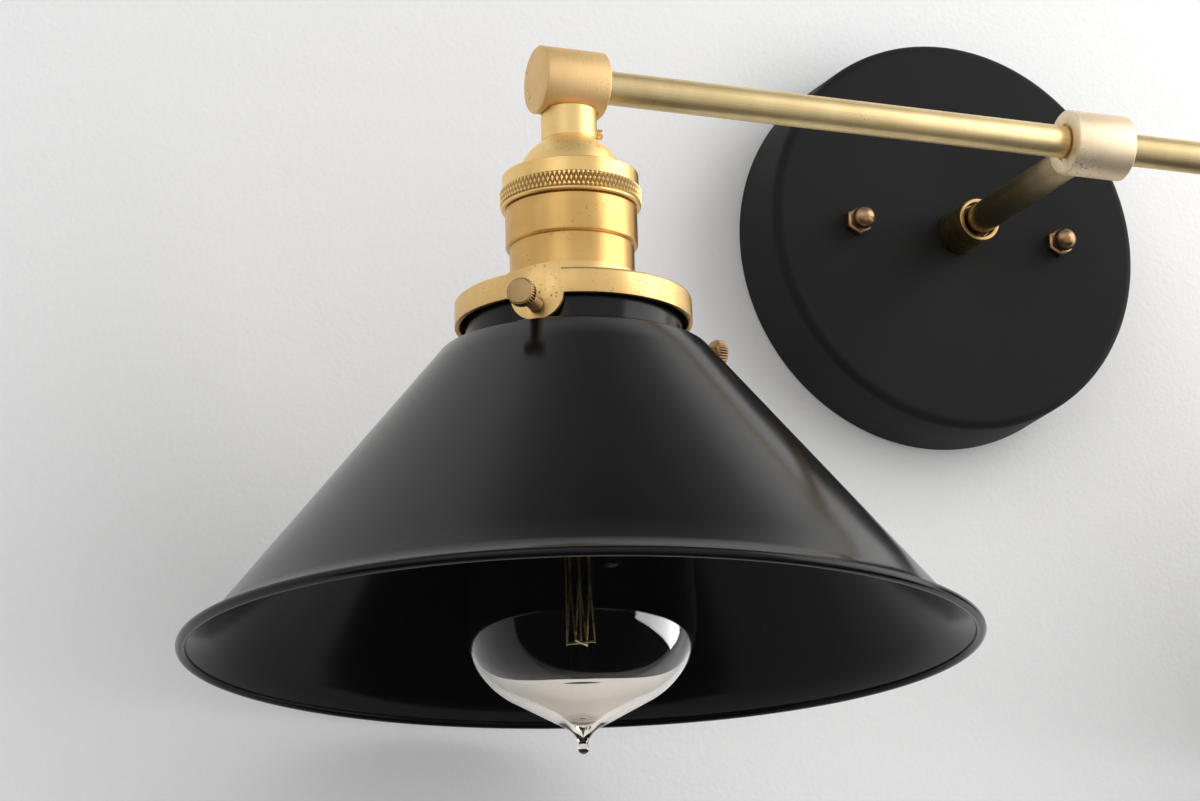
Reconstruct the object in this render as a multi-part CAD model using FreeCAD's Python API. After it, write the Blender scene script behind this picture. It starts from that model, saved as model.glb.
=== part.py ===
"""Vanity light: a canopy on the wall, a stem, a hub and two arms, with a shaded lamp on each arm.

Frame, in millimetres: the origin is the centre of the canopy on the wall plane, +X runs to the
right along the arms, +Y into the wall and +Z up, so the light stands out towards -Y.
A lamp is drawn about its own axis, at X = 0 and Y = 0 with heights as in the whole light,
and is then moved to its place on the left or on the right.
"""
import FreeCAD, Part
import math
import os

from FreeCAD import Rotation, Vector

# Clearances
SNUG_GAP = 0.05          # a piece seated in a bore
FREE_GAP = 0.3           # pieces that turn or slide past each other
LOOSE_GAP = 0.8          # pieces that only hang near each other

# Canopy, a spun dish with its face towards the room
CANOPY_DIA = 125.0
CANOPY_DRAFT = 0.5       # how much the back edge is wider, on the radius
CANOPY_DEPTH = 25.5
CANOPY_WALL = 1.2
CANOPY_EDGE_RADIUS = 3.0

# Crossbar and its fasteners
BAR_WIDTH = 18.0
BAR_THICK = 2.5
BOX_SLOT_SPACING = 88.9
BOX_SLOT_LENGTH = 9.0
BOX_SLOT_WIDTH = 4.6
BAR_END = 4.05           # metal beyond a box slot
STUD_SPACING = 69.85
STUD_DIA = 4.1
STUD_NUT_FLATS = 8.7
STUD_NUT_THICK = 3.2
GROUND_SCREW_X = 0.0
GROUND_SCREW_DIA = 4.0
GROUND_HEAD_DIA = 8.4
GROUND_HEAD_THICK = 2.4
BAR_LENGTH = BOX_SLOT_SPACING + BOX_SLOT_LENGTH + 2 * BAR_END

# Ball cap nuts on the canopy's face
BALL_DIA = 7.0
BALL_NUT_FLATS = 7.6
BALL_NUT_BASE_THICK = 3.0
BALL_SINK = 1.2          # how far the ball is sunk into its base
BALL_NUT_BORE_DEPTH = 4.5

# Tubes of the stem and the arms, and the leads inside them
TUBE_DIA = 9.525
TUBE_WALL = 1.5
STEM_REACH = 112.3       # wall to the axis of the arms
LAMP_OFFSET = 165.5      # middle of the light to the axis of a lamp
LEAD_BEND = 4.0
LEAD_TAIL = 6.0
TUBE_BORE = TUBE_DIA - 2 * TUBE_WALL
TUBE_REST = TUBE_DIA / 2 + FREE_GAP      # where a tube ends, from the axis that it meets
LEAD_DIA = (TUBE_BORE - 4 * FREE_GAP) / 2

# Hub and elbows, turned brass cylinders
HUB_DIA = 19.05
HUB_LENGTH = 19.05
ELBOW_DIA = 19.05
ELBOW_LENGTH = 19.05
END_CHAMFER = 0.4
MOUTH_GAP = 0.7          # open ring round a tube where it enters
MOUTH_DEPTH = 1.0
MOUTH_DIA = TUBE_DIA + 2 * MOUTH_GAP

# Collar, washer and locknut of the stem
COLLAR_WALL = 2.0
COLLAR_LENGTH = 15.0
COLLAR_MOUTH_DEPTH = 3.0
WASHER_DIA = 17.0
WASHER_THICK = 1.0
LOCKNUT_FLATS = 14.3
LOCKNUT_THICK = 4.0
STEM_TAIL = 3.0          # stem standing out of the locknut
COLLAR_DIA = TUBE_DIA + 2 * COLLAR_WALL

# Bulb base, a standard screw base that the socket is drawn round
BASE_DIA = 26.0
BASE_WALL = 0.5
BASE_TOP_INSET = 6.0     # contact face to the top of the screw part
BASE_LENGTH = 21.0
BASE_RIB_PITCH = 3.6
BASE_RIB_DEPTH = 0.5
BASE_CONTACT_DIA = 9.0
BASE_CONTACT_THICK = 1.6
INSULATOR_DIA = 22.0

# Socket, from the inside out
SCREW_SHELL_WALL = 0.5
BODY_WALL = 2.25
BODY_FLOOR_THICK = 5.0
CONTACT_DIA = 8.0
CONTACT_THICK = 1.4
SHELL_WALL = 1.0
SHELL_STEP_DEPTH = 1.05  # wide part to narrow part, on the radius
SHELL_SHOULDER = 1.5     # threaded top to wide part, on the radius
CAP_WALL = 1.2
CAP_SKIRT_STEP = 0.6     # dome to skirt, on the radius
SCREW_SHELL_BORE = BASE_DIA + 2 * FREE_GAP
BODY_WELL_DIA = SCREW_SHELL_BORE + 2 * (SCREW_SHELL_WALL + SNUG_GAP)
BODY_DIA = BODY_WELL_DIA + 2 * BODY_WALL
SHELL_NARROW_DIA = BODY_DIA + 2 * (SNUG_GAP + SHELL_WALL)
SHELL_WIDE_DIA = SHELL_NARROW_DIA + 2 * SHELL_STEP_DEPTH
SHELL_THREAD_DIA = SHELL_WIDE_DIA - 2 * SHELL_SHOULDER
CAP_SKIRT_DIA = SHELL_THREAD_DIA - 2 * (SHELL_WALL + SNUG_GAP)
DOME_RADIUS = CAP_SKIRT_DIA / 2 - CAP_SKIRT_STEP

# Socket cap: neck and dome under the elbow
NECK_SEAT_DEPTH = 0.9    # flat seat cut into the underside of the elbow
NECK_WALL = 3.0
NECK_LENGTH = 9.15
NIPPLE_RISE = 4.8        # nipple above the top of the neck
NIPPLE_TAIL = 5.0        # nipple below the foot of the neck
SET_SCREW_DIA = 2.0
SET_SCREW_HEAD_DIA = 2.8
SET_SCREW_HEAD_THICK = 1.6
SET_SCREW_RISE = 3.2     # above the foot of the neck
SET_SCREW_ANGLE = 352.0
NIPPLE_DIA = TUBE_DIA
NECK_DIA = NIPPLE_DIA + 2 * NECK_WALL
NECK_TOP = NECK_SEAT_DEPTH - ELBOW_DIA / 2
NECK_FOOT = NECK_TOP - NECK_LENGTH
NIPPLE_TOP = NECK_TOP + NIPPLE_RISE
NIPPLE_FOOT = NECK_FOOT - NIPPLE_TAIL
DOME_CENTRE = NECK_FOOT - math.sqrt(DOME_RADIUS ** 2 - (NECK_DIA / 2) ** 2)
SET_SCREW_HEIGHT = NECK_FOOT + SET_SCREW_RISE

# Knurled ring round the joint of cap and shell
RING_RISE = 3.2          # top of the ring above the middle of the dome
RING_WALL = 1.85
RING_BAND_HEIGHT = 4.3
RING_EDGE_RADIUS = 0.4
RING_FLANGE_THICK = 1.6
KNURL_STEP = 0.65        # knurl above the band, on the radius
KNURL_HEIGHT = 4.3
LIP_STEP = 0.2           # lip below the knurl, on the radius
LIP_HEIGHT = 1.15
RING_BORE_DIA = SHELL_THREAD_DIA + 2 * FREE_GAP
RING_BAND_DIA = RING_BORE_DIA + 2 * RING_WALL
KNURL_DIA = RING_BAND_DIA + 2 * KNURL_STEP
RING_LIP_DIA = KNURL_DIA - 2 * LIP_STEP
RING_TOP = DOME_CENTRE + RING_RISE
RING_BAND_FOOT = RING_TOP - RING_BAND_HEIGHT
KNURL_FOOT = RING_BAND_FOOT - KNURL_HEIGHT
RING_LIP_FOOT = KNURL_FOOT - LIP_HEIGHT

# Socket shell: threaded top, wide part, step, narrow part and a bead under the shade holder
RING_SHADOW_GAP = 0.35   # open line between the ring and the shell
SHELL_WIDE_LENGTH = 10.1
SHELL_STEP = 0.9
SHELL_NARROW_LENGTH = 14.95
SHELL_TAIL = 9.6         # shell below the top of the holder
SHELL_BEAD_DEPTH = 0.9
SHELL_BEAD_HEIGHT = 2.0
BODY_INSET = 1.5         # porcelain above the foot of the shell
SCREW_SHELL_INSET = 4.0  # screw shell above the foot of the porcelain
SHELL_THREAD_TOP = RING_TOP - RING_FLANGE_THICK - FREE_GAP
SHELL_WIDE_TOP = RING_LIP_FOOT - RING_SHADOW_GAP
SHELL_WIDE_FOOT = SHELL_WIDE_TOP - SHELL_WIDE_LENGTH
HOLDER_TOP = SHELL_WIDE_FOOT - SHELL_STEP - SHELL_NARROW_LENGTH
SHELL_FOOT = HOLDER_TOP - SHELL_TAIL
CAP_FOOT = SHELL_WIDE_TOP
BODY_TOP = CAP_FOOT - SHELL_WALL
BODY_FLOOR = BODY_TOP - BODY_FLOOR_THICK
BODY_FOOT = SHELL_FOOT + BODY_INSET
CONTACT_FACE = BODY_FLOOR - CONTACT_THICK

# Shade holder
HOLDER_DIA = 65.0
HOLDER_WALL = 1.25
HOLDER_SKIRT = 7.05
HOLDER_EDGE_RADIUS = 1.0
HOLDER_RISE = 2.8        # cone from the edge up to the collar
HOLDER_COLLAR_HEIGHT = 3.35
HOLDER_COLLAR_WALL = 0.9
EAR_RADIUS = 7.4
EAR_DROP = 6.75          # middle of an ear below the top of the holder's edge
TAB_START_ANGLE = 215.5
TAB_END_ANGLE = 242.2
TAB_HEIGHT = 2.0
EAR_CENTRE = HOLDER_TOP - EAR_DROP
HOLDER_INSIDE_DIA = HOLDER_DIA - 2 * HOLDER_WALL

# Shade
SHADE_DIA = 215.9
SHADE_WALL = 1.0
SHADE_LIP_GAP = 0.6      # lip to the holder's skirt, on the radius
SHADE_LIP_STEP = 1.0     # lip outside the neck, on the radius
SHADE_LIP_HEIGHT = 1.4
SHADE_NECK_LENGTH = 12.7
SHADE_SHOULDER_WIDTH = 5.4
SHADE_SHOULDER_RADIUS = 3.0
SHADE_CONE_HEIGHT = 81.2  # shoulder to the middle of the rim
SHADE_FLARE_WIDTH = 7.0
SHADE_FLARE_HEIGHT = 5.4
SHADE_BEAD_DIA = 2.8
SHADE_LIP_DIA = HOLDER_INSIDE_DIA - 2 * SHADE_LIP_GAP
SHADE_NECK_DIA = SHADE_LIP_DIA - 2 * SHADE_LIP_STEP
SHADE_SHOULDER_DIA = SHADE_NECK_DIA + 2 * SHADE_SHOULDER_WIDTH
SHADE_NECK_TOP = HOLDER_TOP - HOLDER_WALL - LOOSE_GAP
SHADE_SHOULDER_TOP = SHADE_NECK_TOP - SHADE_NECK_LENGTH
SHADE_RIM_HEIGHT = SHADE_SHOULDER_TOP - SHADE_CONE_HEIGHT

# Thumb screws through the ears
SCREW_ANGLES = (230.0, 4.0, 117.0)
SCREW_DROP = 10.05       # axis below the top of the holder's edge
SCREW_DIA = 4.0
SCREW_HEAD_DIA = 7.8
SCREW_HEAD_THICK = 3.6
SCREW_STANDOUT = 10.0    # ear to the back of the head
SCREW_HEIGHT = HOLDER_TOP - SCREW_DROP
SCREW_TIP = SHADE_NECK_DIA / 2 + FREE_GAP
SCREW_SHANK = HOLDER_DIA / 2 + SCREW_STANDOUT - SCREW_TIP
SCREW_LENGTH = SCREW_SHANK + SCREW_HEAD_THICK

# Bulb
GLASS_WALL = 0.9
GLASS_NECK_LENGTH = 6.0  # glass inside the base
GLASS_SHOULDER_DIA = 33.0
GLASS_SHOULDER_DROP = 9.0
GLASS_LENGTH = 81.0      # foot of the base to the widest height
BULB_DIA = 62.7
BOWL_ROUND_RADIUS = 23.3
BOWL_TURN = 61.0         # angle that the round turns through before the straight foot of the bowl
FOOT_ROUND_RADIUS = 21.2  # inside the bowl, so that the foot is thick glass
FOOT_TURN = 64.8
TIP_TOP_DIA = 8.6
TIP_BORE_DIA = 7.8
TIP_NECK_DIA = 2.3
TIP_NECK_LENGTH = 4.4
TIP_DROP_DIA = 3.1
TIP_FLOOR_THICK = 2.0
MOUNT_RIM_HEIGHT = 1.0
MOUNT_ROD_DIA = 4.0
MOUNT_LENGTH = 50.0
MOUNT_FLARE_LENGTH = 14.0
MOUNT_BUTTON_DIA = 5.0
WIRE_DIA = 0.6
FILAMENT_DIA = 0.45
FILAMENT_TURNS = 4
FILAMENT_RING_DIA = 8.0
FILAMENT_DROP = 38.5
BASE_INSIDE_DIA = BASE_DIA - 2 * (BASE_RIB_DEPTH + BASE_WALL)
GLASS_NECK_DIA = BASE_INSIDE_DIA - 2 * SNUG_GAP
MOUNT_FLARE_DIA = GLASS_NECK_DIA - 2 * (GLASS_WALL + SNUG_GAP)
BASE_FACE = CONTACT_FACE - FREE_GAP
BASE_TOP = BASE_FACE - BASE_TOP_INSET
BASE_FOOT = BASE_TOP - BASE_LENGTH
GLASS_TOP = BASE_FOOT + GLASS_NECK_LENGTH
GLASS_SHOULDER = BASE_FOOT - GLASS_SHOULDER_DROP
BULB_WIDEST = BASE_FOOT - GLASS_LENGTH
MOUNT_FOOT = BASE_FOOT - MOUNT_LENGTH
FILAMENT_TOP = MOUNT_FOOT + MOUNT_BUTTON_DIA / 4
FILAMENT_FOOT = FILAMENT_TOP - FILAMENT_DROP

# Places of the stem
ARM_Y = -STEM_REACH
WASHER_Y = CANOPY_WALL - CANOPY_DEPTH
LOCKNUT_Y = WASHER_Y + WASHER_THICK
STEM_TAIL_Y = LOCKNUT_Y + LOCKNUT_THICK + STEM_TAIL

DOWN = Vector(0, 0, -1)
UP = Vector(0, 0, 1)
TO_WALL = Vector(0, 1, 0)
TO_ROOM = Vector(0, -1, 0)
TO_RIGHT = Vector(1, 0, 0)
SIDES = {"left": -1, "right": 1}


# Shapes

def rod(start, direction, radius, length):
    """A solid cylinder from a point along a direction."""
    return Part.makeCylinder(radius, length, start, direction)


def hex_prism(start, direction, flats, length):
    """A six-sided prism with the given width across flats."""
    corner = flats / math.sqrt(3.0)
    turns = [math.radians(60.0 * step) for step in range(7)]
    outline = Part.makePolygon([Vector(corner * math.cos(a), corner * math.sin(a), 0) for a in turns])
    prism = Part.Face(outline).extrude(Vector(0, 0, length))
    prism.Placement = FreeCAD.Placement(start, Rotation(UP, direction))
    return prism


def outline_edges(start, steps):
    """Edges in the XZ plane from (radius, height) steps: a point is a line, a pair an arc."""
    edges = []
    here = Vector(start[0], 0, start[1])
    for step in steps:
        if isinstance(step[0], tuple):
            middle = Vector(step[0][0], 0, step[0][1])
            there = Vector(step[1][0], 0, step[1][1])
            edges.append(Part.Arc(here, middle, there).toShape())
        else:
            there = Vector(step[0], 0, step[1])
            edges.append(Part.LineSegment(here, there).toShape())
        here = there
    return edges


def turned(start, *steps):
    """A solid turned about the Z axis from a closed outline of (radius, height) steps."""
    edges = outline_edges(start, steps + (start,))
    face = Part.Face(Part.Wire(edges))
    return face.revolve(Vector(0, 0, 0), UP, 360.0)


def tube(outer_dia, inner_dia, top, foot):
    """A plain tube about the Z axis between two heights."""
    return turned((inner_dia / 2, top), (outer_dia / 2, top), (outer_dia / 2, foot), (inner_dia / 2, foot))


def corner_arc(centre, radius, start_deg, end_deg):
    """An arc step (middle and end point) about a centre, from one angle to another."""
    def at(angle):
        turn = math.radians(angle)
        return (centre[0] + radius * math.cos(turn), centre[1] + radius * math.sin(turn))
    return at(start_deg), (at((start_deg + end_deg) / 2), at(end_deg))


def arc_from(start, heading, end):
    """An arc step (middle and end point) that leaves a point along a heading."""
    origin = Vector(start[0], start[1], 0)
    chord = Vector(end[0], end[1], 0) - origin
    leave = Vector(heading[0], heading[1], 0).normalize()
    side = (leave - chord * (leave.dot(chord) / chord.dot(chord))).normalize()
    middle = origin + chord * 0.5 + side * (chord.Length / 2 * math.tan(chord.getAngle(leave) / 2))
    return (middle.x, middle.y), end


def joined(shapes):
    """One solid from shapes that overlap."""
    whole = shapes[0]
    for shape in shapes[1:]:
        whole = whole.fuse(shape)
    return whole.removeSplitter()


def toward_room(shape):
    """Turn a shape drawn about +Z so that its axis points from the wall into the room."""
    return shape.rotated(Vector(0, 0, 0), TO_RIGHT, 90.0)


# Wall side

def make_canopy():
    """Dish with a rounded edge, a hole for the stem and two for the studs."""
    front = CANOPY_DIA / 2
    back = front + CANOPY_DRAFT
    inner = CANOPY_EDGE_RADIUS - CANOPY_WALL
    edge_centre = (front - CANOPY_EDGE_RADIUS, CANOPY_DEPTH - CANOPY_EDGE_RADIUS)
    outer_start, outer_edge = corner_arc(edge_centre, CANOPY_EDGE_RADIUS, 0, 90)
    inner_start, inner_edge = corner_arc(edge_centre, inner, 90, 0)
    dish = turned(
        (0, CANOPY_DEPTH - CANOPY_WALL), inner_start, inner_edge, (back - CANOPY_WALL, 0), (back, 0),
        outer_start, outer_edge, (0, CANOPY_DEPTH))
    dish = toward_room(dish)
    dish = dish.cut(rod(Vector(0, 0, 0), TO_ROOM, TUBE_DIA / 2 + SNUG_GAP, CANOPY_DEPTH))
    for side in SIDES.values():
        centre = Vector(side * STUD_SPACING / 2, 0, 0)
        dish = dish.cut(rod(centre, TO_ROOM, STUD_DIA / 2 + FREE_GAP, CANOPY_DEPTH))
    return dish


def slot_cutter(centre_x):
    """A round-ended slot through the crossbar, along X."""
    reach = (BOX_SLOT_LENGTH - BOX_SLOT_WIDTH) / 2
    ends = [rod(Vector(centre_x + side * reach, 0, 0), TO_ROOM, BOX_SLOT_WIDTH / 2, BAR_THICK)
            for side in SIDES.values()]
    middle = Part.makeBox(2 * reach, BAR_THICK, BOX_SLOT_WIDTH,
                          Vector(centre_x - reach, -BAR_THICK, -BOX_SLOT_WIDTH / 2))
    return joined([middle] + ends)


def make_crossbar():
    """Strip with two slots for the box, two threaded holes for the studs and one for the ground."""
    straight = BAR_LENGTH - BAR_WIDTH
    bar = Part.makeBox(straight, BAR_THICK, BAR_WIDTH, Vector(-straight / 2, -BAR_THICK, -BAR_WIDTH / 2))
    ends = [rod(Vector(side * straight / 2, 0, 0), TO_ROOM, BAR_WIDTH / 2, BAR_THICK)
            for side in SIDES.values()]
    bar = joined([bar] + ends)
    for side in SIDES.values():
        bar = bar.cut(slot_cutter(side * BOX_SLOT_SPACING / 2))
        bar = bar.cut(rod(Vector(side * STUD_SPACING / 2, 0, 0), TO_ROOM, STUD_DIA / 2, BAR_THICK))
    return bar.cut(rod(Vector(GROUND_SCREW_X, 0, 0), TO_ROOM, GROUND_SCREW_DIA / 2, BAR_THICK))


def make_canopy_studs():
    """Two studs, flush with the back of the crossbar, that reach into the ball nuts."""
    length = CANOPY_DEPTH + BALL_NUT_BORE_DEPTH - FREE_GAP
    return Part.Compound([rod(Vector(side * STUD_SPACING / 2, 0, 0), TO_ROOM, STUD_DIA / 2, length)
                          for side in SIDES.values()])


def make_stud_nuts():
    """Two hex nuts on the studs, against the front of the crossbar."""
    nuts = []
    for side in SIDES.values():
        start = Vector(side * STUD_SPACING / 2, -BAR_THICK, 0)
        nut = hex_prism(start, TO_ROOM, STUD_NUT_FLATS, STUD_NUT_THICK)
        nuts.append(nut.cut(rod(start, TO_ROOM, STUD_DIA / 2, STUD_NUT_THICK)))
    return Part.Compound(nuts)


def make_ball_nuts():
    """Two cap nuts: a hex base on the canopy's face with a ball in front of it."""
    nuts = []
    for side in SIDES.values():
        face = Vector(side * STUD_SPACING / 2, -CANOPY_DEPTH, 0)
        base = hex_prism(face, TO_ROOM, BALL_NUT_FLATS, BALL_NUT_BASE_THICK)
        ball_centre = face + TO_ROOM * (BALL_NUT_BASE_THICK + BALL_DIA / 2 - BALL_SINK)
        nut = joined([base, Part.makeSphere(BALL_DIA / 2, ball_centre)])
        nuts.append(nut.cut(rod(face, TO_ROOM, STUD_DIA / 2, BALL_NUT_BORE_DEPTH)))
    return Part.Compound(nuts)


def make_ground_screw():
    """Pan-head screw in the crossbar."""
    shank = rod(Vector(GROUND_SCREW_X, 0, 0), TO_ROOM, GROUND_SCREW_DIA / 2, BAR_THICK)
    head_start = Vector(GROUND_SCREW_X, -BAR_THICK, 0)
    head = rod(head_start, TO_ROOM, GROUND_HEAD_DIA / 2, GROUND_HEAD_THICK)
    slot_width = GROUND_HEAD_THICK / 2
    slot = Part.makeBox(GROUND_HEAD_DIA, slot_width, slot_width,
                        Vector(GROUND_SCREW_X - GROUND_HEAD_DIA / 2,
                               -BAR_THICK - GROUND_HEAD_THICK, -slot_width / 2))
    return joined([shank, head]).cut(slot)


# Stem, hub and arms

def hollow_tube(start, direction, length):
    """A length of the light's tube."""
    return rod(start, direction, TUBE_DIA / 2, length).cut(rod(start, direction, TUBE_BORE / 2, length))


def make_canopy_collar():
    """Sleeve round the stem on the canopy's face, with an open mouth."""
    face = Vector(0, -CANOPY_DEPTH, 0)
    sleeve = rod(face, TO_ROOM, COLLAR_DIA / 2, COLLAR_LENGTH)
    sleeve = sleeve.makeChamfer(END_CHAMFER, [edge_at(sleeve, 1, -CANOPY_DEPTH - COLLAR_LENGTH)])
    sleeve = sleeve.cut(rod(face, TO_ROOM, TUBE_DIA / 2 + SNUG_GAP, COLLAR_LENGTH))
    mouth = face + TO_ROOM * (COLLAR_LENGTH - COLLAR_MOUTH_DEPTH)
    return sleeve.cut(rod(mouth, TO_ROOM, MOUTH_DIA / 2, COLLAR_MOUTH_DEPTH))


def edge_at(solid, axis, place):
    """The round edge of a solid that lies at one place along an axis (0 is X, 1 is Y, 2 is Z)."""
    for edge in solid.Edges:
        box = edge.BoundBox
        low = (box.XMin, box.YMin, box.ZMin)[axis]
        high = (box.XMax, box.YMax, box.ZMax)[axis]
        if abs(low - place) < 0.001 and abs(high - place) < 0.001:
            return edge
    raise ValueError("no edge at this place")


def make_stem_washer():
    """Washer behind the canopy's face."""
    start = Vector(0, WASHER_Y, 0)
    disc = rod(start, TO_WALL, WASHER_DIA / 2, WASHER_THICK)
    return disc.cut(rod(start, TO_WALL, TUBE_DIA / 2 + SNUG_GAP, WASHER_THICK))


def make_stem_locknut():
    """Hex nut that clamps the canopy on the stem."""
    start = Vector(0, LOCKNUT_Y, 0)
    nut = hex_prism(start, TO_WALL, LOCKNUT_FLATS, LOCKNUT_THICK)
    return nut.cut(rod(start, TO_WALL, TUBE_DIA / 2 + SNUG_GAP, LOCKNUT_THICK))


def make_stem_rod():
    """Tube from behind the canopy's face into the hub."""
    hub_end = ARM_Y + TUBE_REST
    return hollow_tube(Vector(0, hub_end, 0), TO_WALL, STEM_TAIL_Y - hub_end)


def tube_seat(mouth, inward, depth):
    """Cutter for a tube's seat: the bore it sits in and the wider mouth round it."""
    return joined([
        rod(mouth, inward, TUBE_DIA / 2 + SNUG_GAP, depth),
        rod(mouth, inward, MOUTH_DIA / 2, MOUTH_DEPTH)])


def turned_block(centre_x, length, dia):
    """A brass cylinder along X on the axis of the arms, with small chamfers at its ends."""
    start = Vector(centre_x - length / 2, ARM_Y, 0)
    block = rod(start, TO_RIGHT, dia / 2, length)
    ends = [edge_at(block, 0, centre_x + side * length / 2) for side in SIDES.values()]
    return block.makeChamfer(END_CHAMFER, ends)


def make_hub():
    """Tee: seats for both arms and for the stem, with a way between them for the leads."""
    hub = turned_block(0, HUB_LENGTH, HUB_DIA)
    for side in SIDES.values():
        mouth = Vector(side * HUB_LENGTH / 2, ARM_Y, 0)
        hub = hub.cut(tube_seat(mouth, TO_RIGHT * -side, HUB_LENGTH / 2 - TUBE_REST))
    hub = hub.cut(rod(Vector(-HUB_LENGTH / 2, ARM_Y, 0), TO_RIGHT, TUBE_BORE / 2, HUB_LENGTH))
    back = Vector(0, ARM_Y + HUB_DIA / 2, 0)
    hub = hub.cut(rod(back, TO_ROOM, TUBE_DIA / 2 + SNUG_GAP, HUB_DIA / 2 - TUBE_REST))
    return hub.cut(rod(back, TO_ROOM, TUBE_BORE / 2, HUB_DIA / 2))


def make_arm(side):
    """Tube from the hub to an elbow."""
    return hollow_tube(Vector(side * TUBE_REST, ARM_Y, 0), TO_RIGHT * side, LAMP_OFFSET - 2 * TUBE_REST)


def make_elbow(side):
    """Closed cylinder: a seat for the arm, and below it a flat seat and a bore for the socket."""
    centre = Vector(side * LAMP_OFFSET, ARM_Y, 0)
    outward = TO_RIGHT * side
    elbow = turned_block(side * LAMP_OFFSET, ELBOW_LENGTH, ELBOW_DIA)
    inner_end = centre - outward * (ELBOW_LENGTH / 2)
    elbow = elbow.cut(tube_seat(inner_end, outward, ELBOW_LENGTH / 2 - TUBE_REST))
    elbow = elbow.cut(rod(inner_end, outward, TUBE_BORE / 2, ELBOW_LENGTH / 2 + TUBE_BORE / 2))
    foot = centre + DOWN * ELBOW_DIA
    elbow = elbow.cut(rod(foot, UP, NECK_DIA / 2 + FREE_GAP, ELBOW_DIA + NECK_TOP))
    elbow = elbow.cut(rod(foot, UP, NIPPLE_DIA / 2 + SNUG_GAP, ELBOW_DIA + NIPPLE_TOP))
    return elbow.cut(rod(foot, UP, TUBE_BORE / 2, ELBOW_DIA))


def make_lamp_leads():
    """Two leads, one from each socket through its arm, the hub and the stem to the canopy."""
    leads = []
    for side in SIDES.values():
        lamp_x = side * LAMP_OFFSET
        stem_x = side * (LEAD_DIA + FREE_GAP) / 2
        inward = TO_RIGHT * -side
        low = Vector(lamp_x, ARM_Y, BODY_TOP)
        up_end = Vector(lamp_x, ARM_Y, -LEAD_BEND)
        arm_start = Vector(lamp_x, ARM_Y, 0) + inward * LEAD_BEND
        arm_end = Vector(stem_x, ARM_Y, 0) - inward * LEAD_BEND
        stem_start = Vector(stem_x, ARM_Y + LEAD_BEND, 0)
        tail = Vector(stem_x, STEM_TAIL_Y + LEAD_TAIL, 0)
        path = Part.Wire([
            Part.LineSegment(low, up_end).toShape(),
            bend(up_end, UP, inward),
            Part.LineSegment(arm_start, arm_end).toShape(),
            bend(arm_end, inward, TO_WALL),
            Part.LineSegment(stem_start, tail).toShape()])
        section = Part.Wire([Part.Circle(low, UP, LEAD_DIA / 2).toShape()])
        leads.append(path.makePipeShell([section], True, False))
    return Part.Compound(leads)


def bend(start, coming, going):
    """A quarter-turn arc of the leads' bend radius, tangent to both directions."""
    end = start + (coming + going) * LEAD_BEND
    centre = start + going * LEAD_BEND
    middle = centre + (coming - going).normalize() * LEAD_BEND
    return Part.Arc(start, middle, end).toShape()


# Socket

def make_socket_nipple():
    """Threaded tube that ties the socket cap to the elbow."""
    return tube(NIPPLE_DIA, TUBE_BORE, NIPPLE_TOP, NIPPLE_FOOT)


def dome_height_at(radius, offset):
    """Height of the dome, or of its inside at an offset, at a radius."""
    return DOME_CENTRE + math.sqrt((DOME_RADIUS - offset) ** 2 - radius ** 2)


def make_socket_cap():
    """Neck, dome and a short skirt that stands inside the socket shell."""
    neck = NECK_DIA / 2
    bore = NIPPLE_DIA / 2 + SNUG_GAP
    skirt = CAP_SKIRT_DIA / 2
    inner = DOME_RADIUS - CAP_WALL
    outer_round = arc_from((DOME_RADIUS, DOME_CENTRE), (0, 1), (neck, NECK_FOOT))
    inner_round = arc_from((inner, DOME_CENTRE), (0, 1), (bore, dome_height_at(bore, CAP_WALL)))
    cap = turned(
        (bore, NECK_TOP), (neck, NECK_TOP), (neck, NECK_FOOT),
        (outer_round[0], (DOME_RADIUS, DOME_CENTRE)),
        (skirt, DOME_CENTRE - CAP_SKIRT_STEP), (skirt, CAP_FOOT),
        (inner, CAP_FOOT), (inner, DOME_CENTRE), inner_round)
    hole = rod(UP * SET_SCREW_HEIGHT, around(SET_SCREW_ANGLE), SET_SCREW_DIA / 2, NECK_DIA)
    return cap.cut(hole)


def make_cap_set_screw():
    """Small screw through the side of the neck, against the nipple."""
    outward = around(SET_SCREW_ANGLE)
    height = UP * SET_SCREW_HEIGHT
    shank = rod(outward * (NIPPLE_DIA / 2) + height, outward, SET_SCREW_DIA / 2, NECK_WALL)
    head = rod(outward * (NECK_DIA / 2) + height, outward, SET_SCREW_HEAD_DIA / 2, SET_SCREW_HEAD_THICK)
    return joined([shank, head])


def make_knurled_ring():
    """Ring with a plain band, a raised knurled band and a lip, open to the socket inside."""
    band = RING_BAND_DIA / 2
    knurl = KNURL_DIA / 2
    lip = RING_LIP_DIA / 2
    bore = RING_BORE_DIA / 2
    flange = CAP_SKIRT_DIA / 2 + FREE_GAP
    flange_foot = RING_TOP - RING_FLANGE_THICK
    edge_start, edge_round = corner_arc(
        (band - RING_EDGE_RADIUS, RING_TOP - RING_EDGE_RADIUS), RING_EDGE_RADIUS, 90, 0)
    lip_start, lip_round = corner_arc(
        (lip - LIP_HEIGHT / 2, KNURL_FOOT - LIP_HEIGHT / 2), LIP_HEIGHT / 2, 90, -90)
    return turned(
        (flange, RING_TOP), edge_start, edge_round, (band, RING_BAND_FOOT),
        (knurl, RING_BAND_FOOT), (knurl, KNURL_FOOT), lip_start, lip_round,
        (bore, RING_LIP_FOOT), (bore, flange_foot), (flange, flange_foot))


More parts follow.
